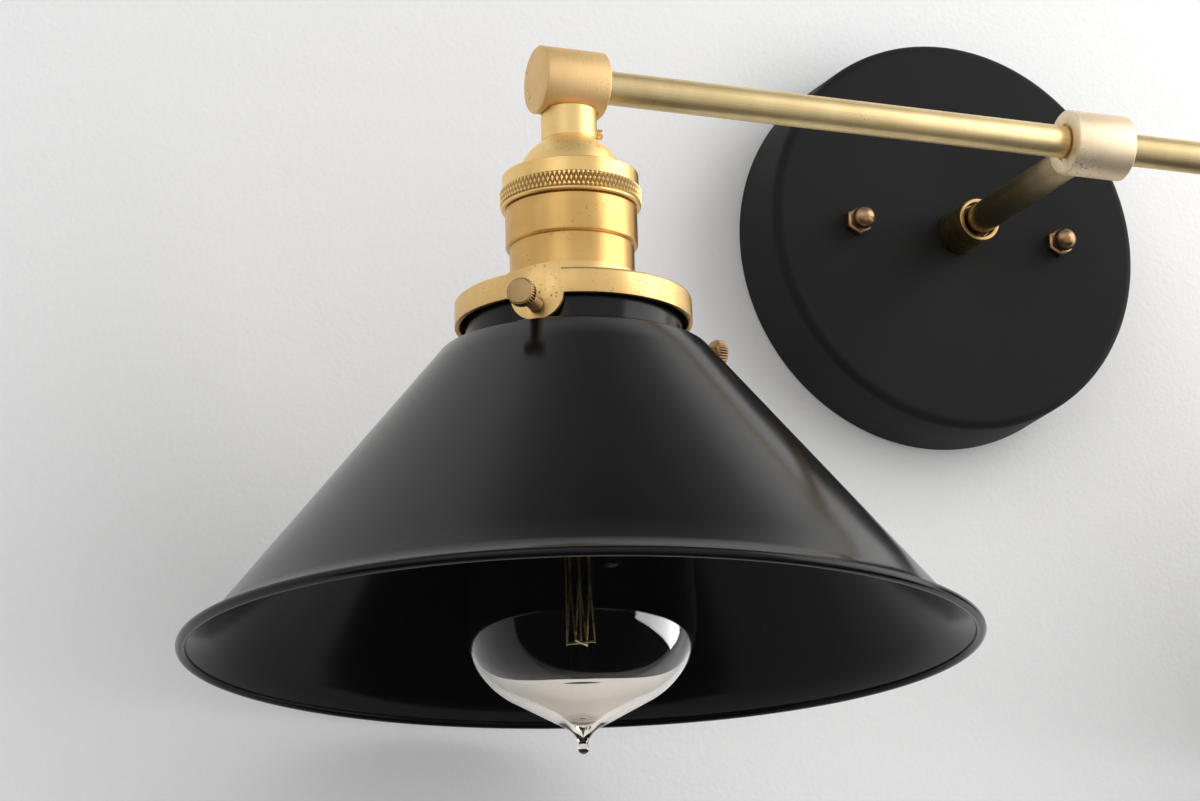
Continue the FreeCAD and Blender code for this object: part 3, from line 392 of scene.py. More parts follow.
def knurl_tree() -> RepeatTree:
    """Tree for a knurled band about +Z: crossing slanted ridges, or straight ones with no slant."""
    tree = RepeatTree("knurled_band", ["Radius", "Height", "Depth", "Slant", "Run-out", "Sink"],
                      ["Teeth", "Columns", "Rows"])
    size = tree.inputs
    columns = tree.math("ADD", size["Columns"], 1.0)
    rows = tree.math("ADD", size["Rows"], 3.0)
    tall = tree.math("SUBTRACT", rows, 1.0)
    grid = tree.node("GeometryNodeMeshGrid", {"Size X": 2.0 * math.pi, "Size Y": tall,
                                              "Vertices X": columns, "Vertices Y": rows})
    spot = tree.node("ShaderNodeSeparateXYZ", {0: tree.node("GeometryNodeInputPosition").outputs[0]})
    angle = spot.outputs[0]
    middle = tree.math("MULTIPLY", tree.math("SUBTRACT", size["Rows"], 1.0), 0.5)
    row = tree.math("ADD", spot.outputs[1], 0.5)
    outer_row = tree.math("MINIMUM", tree.math("ABSOLUTE", row), middle)
    half = tree.math("MULTIPLY", size["Height"], 0.5)
    level = tree.math("MULTIPLY", tree.math("DIVIDE", outer_row, middle), half)
    last = tree.math("GREATER_THAN", row, tree.math("ADD", middle, 1.5))
    back = tree.math("SUBTRACT", 1.0, tree.math("MULTIPLY", last, 2.0))
    way = tree.math("MULTIPLY", tree.math("SIGN", row), back)
    height = tree.math("MULTIPLY", level, way)
    inside = tree.math("GREATER_THAN", tree.math("ABSOLUTE", row), tree.math("ADD", middle, 0.5))
    across = tree.math("DIVIDE", tree.math("MULTIPLY", angle, size["Teeth"]), 2.0 * math.pi)
    lean = tree.math("MULTIPLY", height, size["Slant"])
    ridges = [tree.math("PINGPONG", tree.math(way, across, lean), 0.5) for way in ("ADD", "SUBTRACT")]
    crest = tree.math("MULTIPLY", tree.math("MINIMUM", *ridges), 2.0)
    crest = tree.math("MINIMUM", crest, 0.8)
    margin = tree.math("SUBTRACT", half, tree.math("ABSOLUTE", height))
    fade = tree.math("MINIMUM", tree.math("DIVIDE", margin, size["Run-out"]), 1.0)
    rise = tree.math("MULTIPLY", tree.math("MULTIPLY", crest, fade), tree.math("DIVIDE", size["Depth"], 0.8))
    root = tree.math("SUBTRACT", size["Radius"], size["Depth"])
    radius = tree.math("SUBTRACT", tree.math("ADD", root, rise), tree.math("MULTIPLY", inside, size["Sink"]))
    east = tree.math("MULTIPLY", radius, tree.math("COSINE", angle))
    north = tree.math("MULTIPLY", radius, tree.math("SINE", angle))
    target = tree.node("ShaderNodeCombineXYZ", {0: east, 1: north, 2: height})
    spread = tree.node("ShaderNodeCombineXYZ", {0: tree.math("MULTIPLY", size["Radius"], 2.0 * math.pi),
                                                1: size["Height"], 2: 1.0})
    chart = tree.node("ShaderNodeVectorMath", {0: grid.outputs["UV Map"], 1: spread.outputs[0]},
                      operation="MULTIPLY")
    store = "GeometryNodeStoreNamedAttribute"
    named = tree.node(store, {"Geometry": grid.outputs["Mesh"], "Name": "UVMap", "Value": chart.outputs[0]},
                      data_type="FLOAT2", domain="CORNER")
    hollow = tree.math("SUBTRACT", 1.0, tree.math("DIVIDE", crest, 0.8))
    marked = tree.node(store, {"Geometry": named.outputs[0], "Name": "cavity", "Value": hollow},
                       data_type="FLOAT", domain="POINT")
    bent = tree.node("GeometryNodeSetPosition", {"Geometry": marked.outputs[0],
                                                 "Position": target.outputs[0]})
    seamless = tree.node("GeometryNodeMergeByDistance", {"Geometry": bent.outputs[0], "Distance": TINY})
    tree.close(seamless.outputs[0])
    return tree


def thread_tree() -> RepeatTree:
    """Tree for a screw thread about +Z: a round ridge that winds up from the origin."""
    tree = RepeatTree("screw_thread", ["Radius", "Length", "Turns", "Ridge"], ["Steps"])
    size = tree.inputs
    coil = tree.node("GeometryNodeCurveSpiral", {"Resolution": size["Steps"], "Rotations": size["Turns"],
                                                 "Start Radius": size["Radius"], "End Radius": size["Radius"],
                                                 "Height": size["Length"]})
    ridge = tree.node("GeometryNodeCurvePrimitiveCircle", {"Resolution": 6, "Radius": size["Ridge"]})
    sweep = tree.node("GeometryNodeCurveToMesh", {"Curve": coil.outputs[0], "Profile Curve": ridge.outputs[0],
                                                  "Fill Caps": True})
    tree.close(sweep.outputs[0])
    return tree


# Finishes

class Shader(Tree):
    """A material's tree with a Principled shader at its end."""

    def __init__(self, name: str) -> None:
        """Make the material with a bare shader."""
        self.material = bpy.data.materials.new(name)
        self.material.use_nodes = True
        super().__init__(self.material.node_tree)
        self.surface = self.node("ShaderNodeBsdfPrincipled")
        self.node("ShaderNodeOutputMaterial", {"Surface": self.surface.outputs[0]})
        self.places = self.node("ShaderNodeTexCoord").outputs

    def set(self, **values: object) -> None:
        """Set inputs of the shader that are the same all over, by name with _ for a space."""
        for key, value in values.items():
            self.surface.inputs[key.replace("_", " ")].default_value = value

    def feed(self, name: str, socket: bpy.types.NodeSocket) -> None:
        """Link a pattern to an input of the shader."""
        self.tree.links.new(socket, self.surface.inputs[name])

    def noise(self, source: str, scale: tuple[float, float, float], detail: float) -> bpy.types.NodeSocket:
        """Noise between 0 and 1 on a surface map or on Object coordinates.

        Args:
            source: UV or Object.
            scale: Cells in a metre each way.
            detail: Number of finer layers.

        Returns:
            The noise's value.
        """
        spot = self.node("ShaderNodeMapping", {"Vector": self.places[source], "Scale": scale})
        return self.node("ShaderNodeTexNoise", {"Vector": spot.outputs[0], "Scale": 1.0, "Detail": detail,
                                                "Roughness": 0.55}).outputs[0]

    def remap(self, value: bpy.types.NodeSocket, low: float, high: float, to_low: float,
              to_high: float) -> bpy.types.NodeSocket:
        """Stretch a range of a value to another range, with both ends held."""
        return self.node("ShaderNodeMapRange", {"Value": value, "From Min": low, "From Max": high,
                                                "To Min": to_low, "To Max": to_high}).outputs[0]

    def blend(self, share: bpy.types.NodeSocket, first: object, second: object) -> bpy.types.NodeSocket:
        """Mix two colours by a share."""
        mix = self.node("ShaderNodeMix", {0: share, 6: first, 7: second}, data_type="RGBA")
        return mix.outputs[2]

    def bump(self, height: bpy.types.NodeSocket, strength: float, depth: float) -> None:
        """Add fine relief, with its depth in millimetres."""
        relief = self.node("ShaderNodeBump", {"Height": height, "Strength": strength, "Distance": depth * MM})
        self.feed("Normal", relief.outputs[0])


def opaque(red: float, green: float, blue: float) -> tuple[float, float, float, float]:
    """A colour with full cover."""
    return (red, green, blue, 1.0)


@dataclass(frozen=True)
class Brass:
    """Raw satin brass with tool marks, tone clouds, small dark pits and dark valleys in its knurls."""

    name: str
    grain: Grain
    tone: tuple[float, float, float]
    shade: tuple[float, float, float]
    roughness: tuple[float, float] = (0.24, 0.40)
    pits: float = 0.6
    streak: float = 0.35

    def material(self) -> bpy.types.Material:
        """Build the material."""
        shader = Shader(self.name)
        mapped = self.grain in (Grain.ROUND, Grain.ALONG)
        marks = shader.noise("UV" if mapped else "Object", self.grain.value, 3.0)
        clouds = shader.noise("Object", (95.0, 95.0, 95.0), 4.0)
        cover = shader.math("ADD", shader.remap(clouds, 0.35, 0.75, 0.0, 0.55),
                            shader.remap(marks, 0.35, 0.75, 0.0, self.streak))
        base = shader.blend(cover, opaque(*self.tone), opaque(*self.shade))
        patch = shader.remap(shader.noise("Object", (60.0, 60.0, 60.0), 1.0), 0.52, 0.62, 0.0, 1.0)
        specks = shader.remap(shader.noise("Object", (1150.0, 1150.0, 1150.0), 2.0), 0.64, 0.70, 0.0, 1.0)
        pitted = shader.math("MULTIPLY", shader.math("MULTIPLY", patch, specks), self.pits)
        valley = shader.node("ShaderNodeAttribute", attribute_name="cavity").outputs["Fac"]
        dark = shader.math("MAXIMUM", pitted, shader.remap(valley, 0.25, 1.0, 0.0, 0.9))
        shader.feed("Base Color", shader.blend(dark, base, opaque(0.10, 0.055, 0.02)))
        rough = shader.remap(marks, 0.3, 0.7, *self.roughness)
        shader.feed("Roughness", shader.math("ADD", rough, shader.math("MULTIPLY", pitted, 0.25)))
        relief = shader.math("SUBTRACT", marks, pitted)
        shader.bump(relief, 0.22, 0.03)
        shader.set(Metallic=1.0)
        if mapped:
            turn = 0.25 if self.grain is Grain.ROUND else 0.0
            shader.set(Anisotropic=0.55, Anisotropic_Rotation=turn)
            shader.feed("Tangent", shader.node("ShaderNodeTangent", direction_type="UV_MAP",
                                               uv_map="UVMap").outputs[0])
        return shader.material


@dataclass(frozen=True)
class BlackCoat:
    """Black coat on spun steel, with a faint orange peel, and dull where faces are marked inside."""

    name: str
    tone: float
    roughness: tuple[float, float]
    peel: float
    specular: float = 0.5
    lining: float = 0.1

    def material(self) -> bpy.types.Material:
        """Build the material."""
        shader = Shader(self.name)
        clouds = shader.noise("Object", (38.0, 38.0, 38.0), 4.0)
        fine = shader.noise("Object", (900.0, 900.0, 900.0), 2.0)
        base = shader.blend(clouds, opaque(self.tone, self.tone, self.tone),
                            opaque(self.tone * 1.5, self.tone * 1.48, self.tone * 1.45))
        shader.feed("Base Color", base)
        rough = shader.math("ADD", shader.remap(clouds, 0.3, 0.7, *self.roughness),
                            shader.remap(fine, 0.3, 0.7, -0.02, 0.02))
        shader.feed("Roughness", rough)
        shader.bump(fine, self.peel, 0.02)
        shader.set(Specular_IOR_Level=self.specular)
        if self.lining != self.specular:
            inside = shader.node("ShaderNodeAttribute", attribute_name="inside").outputs["Fac"]
            shader.feed("Specular IOR Level", shader.remap(inside, 0.0, 1.0, self.specular, self.lining))
        return shader.material


@dataclass(frozen=True)
class ClearGlass:
    """Clear bulb glass with a trace of unevenness, warmer in the thick foot of the bulb."""

    name: str
    tint: tuple[float, float, float] = (0.97, 0.98, 0.98)
    foot_tint: tuple[float, float, float] = (1.0, 0.94, 0.865)
    foot: tuple[float, float] = (-166.0, -172.0)
    gloss: float = 0.34

    def material(self) -> bpy.types.Material:
        """Build the material."""
        shader = Shader(self.name)
        waves = shader.noise("Object", (70.0, 70.0, 25.0), 1.0)
        clear = shader.blend(waves, opaque(*self.tint), opaque(1.0, 1.0, 1.0))
        height = shader.node("ShaderNodeSeparateXYZ", {0: shader.places["Object"]}).outputs[2]
        depth = shader.remap(height, self.foot[0] * MM, self.foot[1] * MM, 0.0, 1.0)
        shader.feed("Base Color", shader.blend(depth, clear, opaque(*self.foot_tint)))
        shader.bump(waves, 0.12, 0.05)
        shader.set(Transmission_Weight=1.0, Roughness=0.0, IOR=1.47)
        shader.set(Specular_Tint=opaque(self.gloss, self.gloss, self.gloss))
        return shader.material


@dataclass(frozen=True)
class Metal:
    """Plain plated or polished metal with a little unevenness."""

    name: str
    tone: tuple[float, float, float]
    roughness: tuple[float, float]
    scale: float = 300.0
    relief: float = 0.1

    def material(self) -> bpy.types.Material:
        """Build the material."""
        shader = Shader(self.name)
        grain = shader.noise("Object", (self.scale, self.scale, self.scale), 3.0)
        dim = tuple(0.86 * channel for channel in self.tone)
        shader.feed("Base Color", shader.blend(grain, opaque(*self.tone), opaque(*dim)))
        shader.feed("Roughness", shader.remap(grain, 0.3, 0.7, *self.roughness))
        shader.bump(grain, self.relief, 0.01)
        shader.set(Metallic=1.0)
        return shader.material


@dataclass(frozen=True)
class Glaze:
    """Smooth paint, glaze, rubber or glass that light doesn't pass."""

    name: str
    tone: tuple[float, float, float]
    roughness: tuple[float, float]
    coat: float = 0.0

    def material(self) -> bpy.types.Material:
        """Build the material."""
        shader = Shader(self.name)
        clouds = shader.noise("Object", (130.0, 130.0, 130.0), 3.0)
        dim = tuple(0.8 * channel for channel in self.tone)
        shader.feed("Base Color", shader.blend(clouds, opaque(*self.tone), opaque(*dim)))
        shader.feed("Roughness", shader.remap(clouds, 0.3, 0.7, *self.roughness))
        shader.bump(clouds, 0.08, 0.03)
        shader.set(Coat_Weight=self.coat, Coat_Roughness=0.05)
        return shader.material


Finish = Brass | BlackCoat | ClearGlass | Metal | Glaze
TURNED = Brass("turned_brass", Grain.ROUND, (0.95, 0.65, 0.265), (0.80, 0.51, 0.18), (0.30, 0.40), 0.6, 0.15)
DRAWN = Brass("drawn_brass", Grain.ALONG, (0.90, 0.70, 0.38), (0.66, 0.50, 0.24), (0.32, 0.46), 0.3, 0.55)
# Drawn brass of the stem, darker than the arms': a painted dark reflection.
SHADED_STEM_BRASS = Brass("stem_brass", Grain.ALONG, (0.50, 0.40, 0.23), (0.36, 0.27, 0.14), (0.26, 0.36), 0.3, 0.4)
# Dark brass of the canopy collar: partly its own dark tone, partly a painted reflection of the black canopy.
COLLAR = Brass("collar_brass", Grain.ROUND, (0.46, 0.32, 0.15), (0.32, 0.21, 0.08), (0.22, 0.32), 0.4, 0.2)
# Turned brass of the socket cap, a lighter copy of the turned brass: painted light for the bright reflection
# on the dome.
LIT_CAP_BRASS = Brass("cap_brass_painted_light", Grain.ROUND, (1.0, 0.74, 0.33), (0.88, 0.60, 0.24), (0.42, 0.52), 0.6, 0.15)
# Turned brass of the socket shell, a darker copy of the turned brass: painted shade for the dark reflections
# on the shell.
SHADED_SHELL_BRASS = Brass("shell_brass_painted_shade", Grain.ROUND, (0.72, 0.45, 0.16), (0.58, 0.34, 0.105), (0.30, 0.40), 0.6, 0.15)
# Milled brass of the hub, a lighter copy of the elbows' milled brass: painted light for how brightly the hub
# is lit.
LIT_HUB_BRASS = Brass("hub_brass_painted_light", Grain.CROSS, (0.97, 0.82, 0.60), (0.88, 0.70, 0.46), (0.50, 0.62), 0.8, 0.2)
MILLED = Brass("milled_brass", Grain.CROSS, (0.86, 0.62, 0.32), (0.74, 0.49, 0.21), (0.55, 0.68), 0.8, 0.2)
STAMPED = Brass("stamped_brass", Grain.CLOUD, (0.82, 0.56, 0.24), (0.66, 0.42, 0.155), (0.30, 0.42), 0.7, 0.2)
CAPPED = Brass("capped_brass", Grain.CLOUD, (0.46, 0.29, 0.17), (0.34, 0.20, 0.10), (0.28, 0.40), 0.5, 0.2)
SCREWED = Brass("screw_brass", Grain.CLOUD, (0.44, 0.29, 0.14), (0.32, 0.20, 0.085), (0.34, 0.46), 0.6, 0.2)
SHADE_COAT = BlackCoat("shade_coat", 0.003, (0.15, 0.21), 0.10, 0.25)
CANOPY_COAT = BlackCoat("canopy_coat", 0.011, (0.55, 0.65), 0.40, 0.10)
BULB_GLASS = ClearGlass("bulb_glass")
PLATED = Metal("plated_steel", (0.62, 0.62, 0.60), (0.28, 0.45))
BASE_METAL = Metal("bulb_base_metal", (0.74, 0.72, 0.67), (0.22, 0.36))
WIRE_METAL = Metal("support_wire", (0.56, 0.42, 0.28), (0.25, 0.4), 900.0)
FILAMENT = Metal("filament_wire", (0.52, 0.34, 0.15), (0.25, 0.4), 900.0)
PORCELAIN = Glaze("socket_porcelain", (0.88, 0.87, 0.82), (0.12, 0.2), 0.4)
GROUND_PAINT = Glaze("ground_paint", (0.04, 0.27, 0.10), (0.3, 0.4))
LEAD_RUBBER = Glaze("lead_rubber", (0.03, 0.03, 0.03), (0.5, 0.6))
LINING = Metal("socket_lining", (0.78, 0.58, 0.28), (0.25, 0.4))
DARK_GLASS = Glaze("base_glass", (0.02, 0.02, 0.025), (0.08, 0.14))


class Workshop:
    """Keeps the materials and trees, and fits finished pieces to the frame."""

    def __init__(self) -> None:
        """Start with the trees and no materials."""
        self.materials: dict[str, bpy.types.Material] = {}
        self.knurl = knurl_tree()
        self.thread = thread_tree()

    def dress(self, finish: Finish) -> bpy.types.Material:
        """The material of a finish, made once."""
        if finish.name not in self.materials:
            self.materials[finish.name] = finish.material()
        return self.materials[finish.name]

    def fit(self, mesh: bpy.types.Mesh, finish: Finish, body: str, slot: str,
            *nodes: str) -> bpy.types.Object:
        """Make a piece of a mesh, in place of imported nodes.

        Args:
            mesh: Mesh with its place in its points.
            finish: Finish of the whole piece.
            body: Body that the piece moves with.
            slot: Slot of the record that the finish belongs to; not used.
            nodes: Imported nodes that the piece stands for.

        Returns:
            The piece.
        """
        mesh.materials.clear()
        mesh.materials.append(self.dress(finish))
        mesh.polygons.foreach_set("material_index", [0] * len(mesh.polygons))
        piece = new_object(mesh.name, mesh)
        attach(piece, body)
        if nodes:
            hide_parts(*nodes)
        LOG.info("%s: %d faces, on %s", piece.name, len(mesh.polygons), body)
        return piece

    def paint(self, node: str, finish: Finish) -> None:
        """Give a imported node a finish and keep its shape."""
        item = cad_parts[node]
        item.data.materials.clear()
        item.data.materials.append(self.dress(finish))
        LOG.info("%s: packed node painted", node)


# Wall side

@dataclass
class Canopy:
    """The dish on the wall with its collar, ball nuts, studs and crossbar."""

    shop: Workshop
    radius: float = 62.5
    draft: float = 0.5
    depth: float = 25.5
    wall: float = 1.2
    edge: float = 3.0
    stud_spacing: float = 69.85
    stud_radius: float = 2.05
    stud_length: float = 29.7
    nut_flats: float = 7.6
    nut_base: float = 3.0
    ball_radius: float = 3.5
    ball_centre: float = 5.3
    collar_radius: float = 6.7625
    collar_length: float = 15.0
    collar_mouth: float = 5.4625
    mouth_depth: float = 3.0
    bore: float = 4.8125
    thread_ridge: float = 0.32
    thread_pitch: float = 0.8
    thread_steps: int = 20
    dish_corner: float = 0.25
    collar_corner: float = 0.35
    nut_corner: float = 0.12
    nut_chamfer: tuple[float, float] = (0.7, 0.5)
    steel_edge: float = 0.2

    def build(self) -> None:
        """Make every piece of the wall side."""
        self.dish()
        self.collar()
        self.ball_nuts()
        self.studs()
        for node, finish in (("crossbar", PLATED), ("stud_nuts", PLATED), ("stem_washer", PLATED),
                             ("stem_locknut", PLATED), ("ground_screw", GROUND_PAINT)):
            slot = "ground_green" if finish is GROUND_PAINT else "plated_steel"
            mesh = copied_mesh(f"{node}_edged", node, self.steel_edge)
            self.shop.fit(mesh, finish, "fixture", slot, node)

    def dish(self) -> None:
        """Spun dish with a rounded edge, open at the back."""
        back = self.radius + self.draft
        centre = (self.radius - self.edge, self.depth - self.edge)
        outline = [(self.bore, self.depth - self.wall)]
        outline += arc_points(centre, self.edge - self.wall, 90.0, 0.0, 8)
        outline += [(back - self.wall, 0.0), (back, 0.0)]
        outline += arc_points(centre, self.edge, 0.0, 90.0, 12)
        outline += [(self.bore, self.depth)]
        mesh = turned_mesh("canopy_dish", softened(outline, self.dish_corner), place_at(Axis.ROOM), 192)
        self.shop.fit(mesh, CANOPY_COAT, "fixture", "black_steel", "canopy")

    def collar(self) -> None:
        """Sleeve on the canopy's face with an open mouth round the stem."""
        floor = self.depth + self.collar_length - self.mouth_depth
        tip = self.depth + self.collar_length
        outline = [(self.bore, self.depth), (self.collar_radius, self.depth), (self.collar_radius, tip),
                   (self.collar_mouth, tip), (self.collar_mouth, floor), (self.bore, floor)]
        rounded = softened(outline, self.collar_corner)
        mesh = turned_mesh("canopy_collar_turned", rounded, place_at(Axis.ROOM), 96)
        self.shop.fit(mesh, COLLAR, "fixture", "brass", "canopy_collar")

    def ball_nuts(self) -> None:
        """Hex base and ball of each cap nut, turned and cut as one piece."""
        corner = self.nut_flats / math.sqrt(3.0)
        inset, drop = self.nut_chamfer
        meshes = []
        for side in Side:
            place = place_at(Axis.ROOM, side.value * self.stud_spacing / 2.0, -self.depth)
            base = [(0.0, 0.0), (corner, 0.0), (corner, self.nut_base - drop),
                    (corner - inset, self.nut_base), (0.0, self.nut_base)]
            meshes.append(turned_mesh("nut_base", softened(base, self.nut_corner), place, 6))
            ball = [(0.0, self.ball_centre - self.ball_radius)]
            ball += arc_points((0.0, self.ball_centre), self.ball_radius, -80.0, 80.0, 20)
            ball += [(0.0, self.ball_centre + self.ball_radius)]
            meshes.append(turned_mesh("nut_ball", ball, place, 48))
        self.shop.fit(joined_mesh("ball_nuts_turned", meshes), CAPPED, "fixture", "brass", "ball_nuts")

    def studs(self) -> None:
        """Two threaded studs, each a core with a winding ridge."""
        ridge = self.thread_ridge
        core = self.stud_radius - ridge
        meshes = []
        for side in Side:
            place = place_at(Axis.ROOM, side.value * self.stud_spacing / 2.0)
            outline = [(0.0, 0.0), (core, 0.0), (core, self.stud_length), (0.0, self.stud_length)]
            meshes.append(turned_mesh("stud_core", outline, place, 24))
            length = self.stud_length - 2.0 * ridge
            values = {"Radius": core * MM, "Length": length * MM, "Turns": length / self.thread_pitch,
                      "Ridge": ridge * MM, "Steps": self.thread_steps,
                      "Material": self.shop.dress(PLATED)}
            start = place @ Matrix.Translation((0.0, 0.0, ridge * MM))
            meshes.append(self.shop.thread.mesh("stud_thread", values, start))
        whole = joined_mesh("canopy_studs_threaded", meshes)
        self.shop.fit(whole, PLATED, "fixture", "plated_steel", "canopy_studs")


# Stem and arms

@dataclass
class Arms:
    """Stem, hub, arms and elbows, with the leads inside them."""

    shop: Workshop
    lamp_offset: float
    reach: float
    tube_radius: float = 4.7625
    bore: float = 3.2625
    rest: float = 5.0625
    stem_tail: float = 16.3
    tube_corner: float = 0.2
    block_edge: float = 0.18

    def build(self) -> None:
        """Make the tubes and dress the blocks between them."""
        self.tube("stem_rod_drawn", place_at(Axis.ROOM, 0.0, -self.stem_tail),
                  self.reach - self.rest - self.stem_tail, "stem_rod", SHADED_STEM_BRASS)
        length = self.lamp_offset - 2.0 * self.rest
        for side in Side:
            start = self.rest if side is Side.RIGHT else -self.rest - length
            self.tube(f"{side.prefix}_arm_drawn", place_at(Axis.RIGHT, start, -self.reach), length,
                      f"{side.prefix}_arm", DRAWN)
            node = f"{side.prefix}_elbow"
            elbow = copied_mesh(f"{node}_milled", node, self.block_edge)
            self.shop.fit(elbow, MILLED, "fixture", "brass", node)
        self.shop.fit(copied_mesh("hub_milled", "hub", self.block_edge), LIT_HUB_BRASS, "fixture", "brass", "hub")
        self.shop.paint("lamp_leads", LEAD_RUBBER)
        self.shop.paint("socket_nipples", PLATED)

    def tube(self, name: str, place: Matrix, length: float, node: str, finish: Finish) -> None:
        """Make one drawn tube.

        Args:
            name: Name of the piece.
            place: Matrix to its start, along its length.
            length: Length in millimetres.
            node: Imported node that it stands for.
            finish: Finish of the tube.
        """
        outline = [(self.bore, 0.0), (self.tube_radius, 0.0), (self.tube_radius, length), (self.bore, length)]
        mesh = turned_mesh(name, softened(outline, self.tube_corner), place, 96)
        self.shop.fit(mesh, finish, "fixture", "brass", node)


# Lamps

@dataclass
class Socket:
    """Neck, dome, knurled ring and shell of one lamp's socket, with what is inside."""

    shop: Workshop
    side: Side
    place: Matrix
    neck_top: float = -8.625
    neck_foot: float = -17.775
    neck_radius: float = 7.7625
    nipple_bore: float = 4.8125
    dome_radius: float = 15.05
    dome_centre: float = -30.6686
    skirt_radius: float = 15.65
    cap_wall: float = 1.2
    ring_top: float = -27.4686
    band_foot: float = -31.7686
    knurl_foot: float = -36.0686
    lip_foot: float = -37.2186
    flange_radius: float = 15.95
    ring_bore: float = 17.0
    band_radius: float = 18.85
    band_edge: float = 0.4
    knurl_radius: float = 19.5
    knurl_depth: float = 0.55
    knurl_slant: float = 319.0
    knurl_run_out: float = 0.3
    knurl_sink: float = 0.4
    knurl_teeth: int = 92
    knurl_columns: int = 736
    knurl_rows: int = 29
    flange_thick: float = 1.6
    lip_radius: float = 19.3
    thread_top: float = -29.3686
    thread_radius: float = 16.7
    wide_radius: float = 18.2
    wide_top: float = -37.5686
    wide_foot: float = -47.6686
    step_foot: float = -48.5686
    narrow_radius: float = 17.15
    bead_top: float = -61.9686
    shell_foot: float = -73.1186
    shell_wall: float = 1.0
    bead_swell: tuple[Point, ...] = ((0.0, 0.0), (0.6, 0.3), (0.9, 1.0), (0.6, 1.7), (0.0, 2.0))
    line_top: float = 0.55
    line_depth: float = 0.3
    skirt_drop: float = 0.6
    corner: float = 0.22
    porcelain_edge: float = 0.25

    def build(self) -> None:
        """Make the cap, ring and shell, and dress the inside."""
        name = self.side.prefix
        self.cap()
        self.ring()
        self.shell()
        mesh = copied_mesh(f"{name}_porcelain", f"{name}_socket_body", self.porcelain_edge)
        self.shop.fit(mesh, PORCELAIN, "fixture", "porcelain", f"{name}_socket_body")
        self.shop.paint(f"{name}_screw_shell", LINING)
        self.shop.paint(f"{name}_centre_contact", LINING)

    def cap(self) -> None:
        """Neck and dome, with a fine line at the foot of the neck."""
        inner = self.dome_radius - self.cap_wall
        hole_height = self.dome_centre + math.sqrt(inner ** 2 - self.nipple_bore ** 2)
        first = math.degrees(math.atan2(self.neck_foot - self.dome_centre, self.neck_radius))
        last = math.degrees(math.atan2(hole_height - self.dome_centre, self.nipple_bore))
        outline = [(self.nipple_bore, self.neck_top), (self.neck_radius, self.neck_top)]
        outline += [(self.neck_radius, self.neck_foot + self.line_top),
                    (self.neck_radius - self.line_depth, self.neck_foot + self.line_depth)]
        outline += arc_points((0.0, self.dome_centre), self.dome_radius, first, 0.0, 24)
        outline += [(self.skirt_radius, self.dome_centre - self.skirt_drop),
                    (self.skirt_radius, self.wide_top), (inner, self.wide_top)]
        outline += arc_points((0.0, self.dome_centre), inner, 0.0, last, 16)
        node = f"{self.side.prefix}_socket_cap"
        mesh = turned_mesh(f"{node}_turned", softened(outline, self.corner), self.place)
        self.shop.fit(mesh, LIT_CAP_BRASS, "fixture", "brass", node)

    def ring(self) -> None:
        """Ring with a plain band, a band of crossing knurls and a round lip."""
        flange_foot = self.ring_top - self.flange_thick
        lip_round = (self.knurl_foot - self.lip_foot) / 2.0
        corner = (self.band_radius - self.band_edge, self.ring_top - self.band_edge)
        outline = [(self.flange_radius, self.ring_top)]
        outline += arc_points(corner, self.band_edge, 90.0, 0.0, 5)
        outline += [(self.band_radius, self.band_foot), (self.band_radius, self.knurl_foot)]
        lip_centre = (self.lip_radius - lip_round, self.knurl_foot - lip_round)
        outline += arc_points(lip_centre, lip_round, 90.0, -90.0, 10)
        outline += [(self.ring_bore, self.lip_foot), (self.ring_bore, flange_foot),
                    (self.flange_radius, flange_foot)]
        node = f"{self.side.prefix}_knurled_ring"
        body = turned_mesh("ring_body", softened(outline, self.corner), self.place)
        height = self.band_foot - self.knurl_foot
        middle = Matrix.Translation((0.0, 0.0, (self.band_foot + self.knurl_foot) / 2.0 * MM))
        values = {"Radius": self.knurl_radius * MM, "Height": height * MM, "Depth": self.knurl_depth * MM,
                  "Slant": self.knurl_slant, "Run-out": self.knurl_run_out * MM, "Sink": self.knurl_sink * MM,
                  "Teeth": self.knurl_teeth, "Columns": self.knurl_columns, "Rows": self.knurl_rows,
                  "Material": self.shop.dress(TURNED)}
        band = self.shop.knurl.mesh("ring_knurl", values, self.place @ middle)
        mesh = joined_mesh(f"{node}_cut", [body, band])
        self.shop.fit(mesh, TURNED, f"{self.side.prefix}_ring", "brass", node)

    def shell(self) -> None:
        """Threaded top, wide part, rounded step, narrow part and bead."""
        inner = self.narrow_radius - self.shell_wall
        top_inner = self.thread_radius - self.shell_wall
        shelf = self.wide_top - self.shell_wall
        outline = [(top_inner, self.thread_top), (self.thread_radius, self.thread_top),
                   (self.thread_radius, self.wide_top), (self.wide_radius, self.wide_top)]
        outline += tangent_arc((self.wide_radius, self.wide_foot), (0.0, -1.0),
                               (self.narrow_radius, self.step_foot), 6)
        outline += [(self.narrow_radius + out, self.bead_top - down) for out, down in self.bead_swell]
        outline += [(self.narrow_radius, self.shell_foot), (inner, self.shell_foot), (inner, shelf),
                    (top_inner, shelf)]
        node = f"{self.side.prefix}_socket_shell"
        mesh = turned_mesh(f"{node}_turned", softened(outline, self.corner), self.place)
        self.shop.fit(mesh, SHADED_SHELL_BRASS, "fixture", "brass", node)


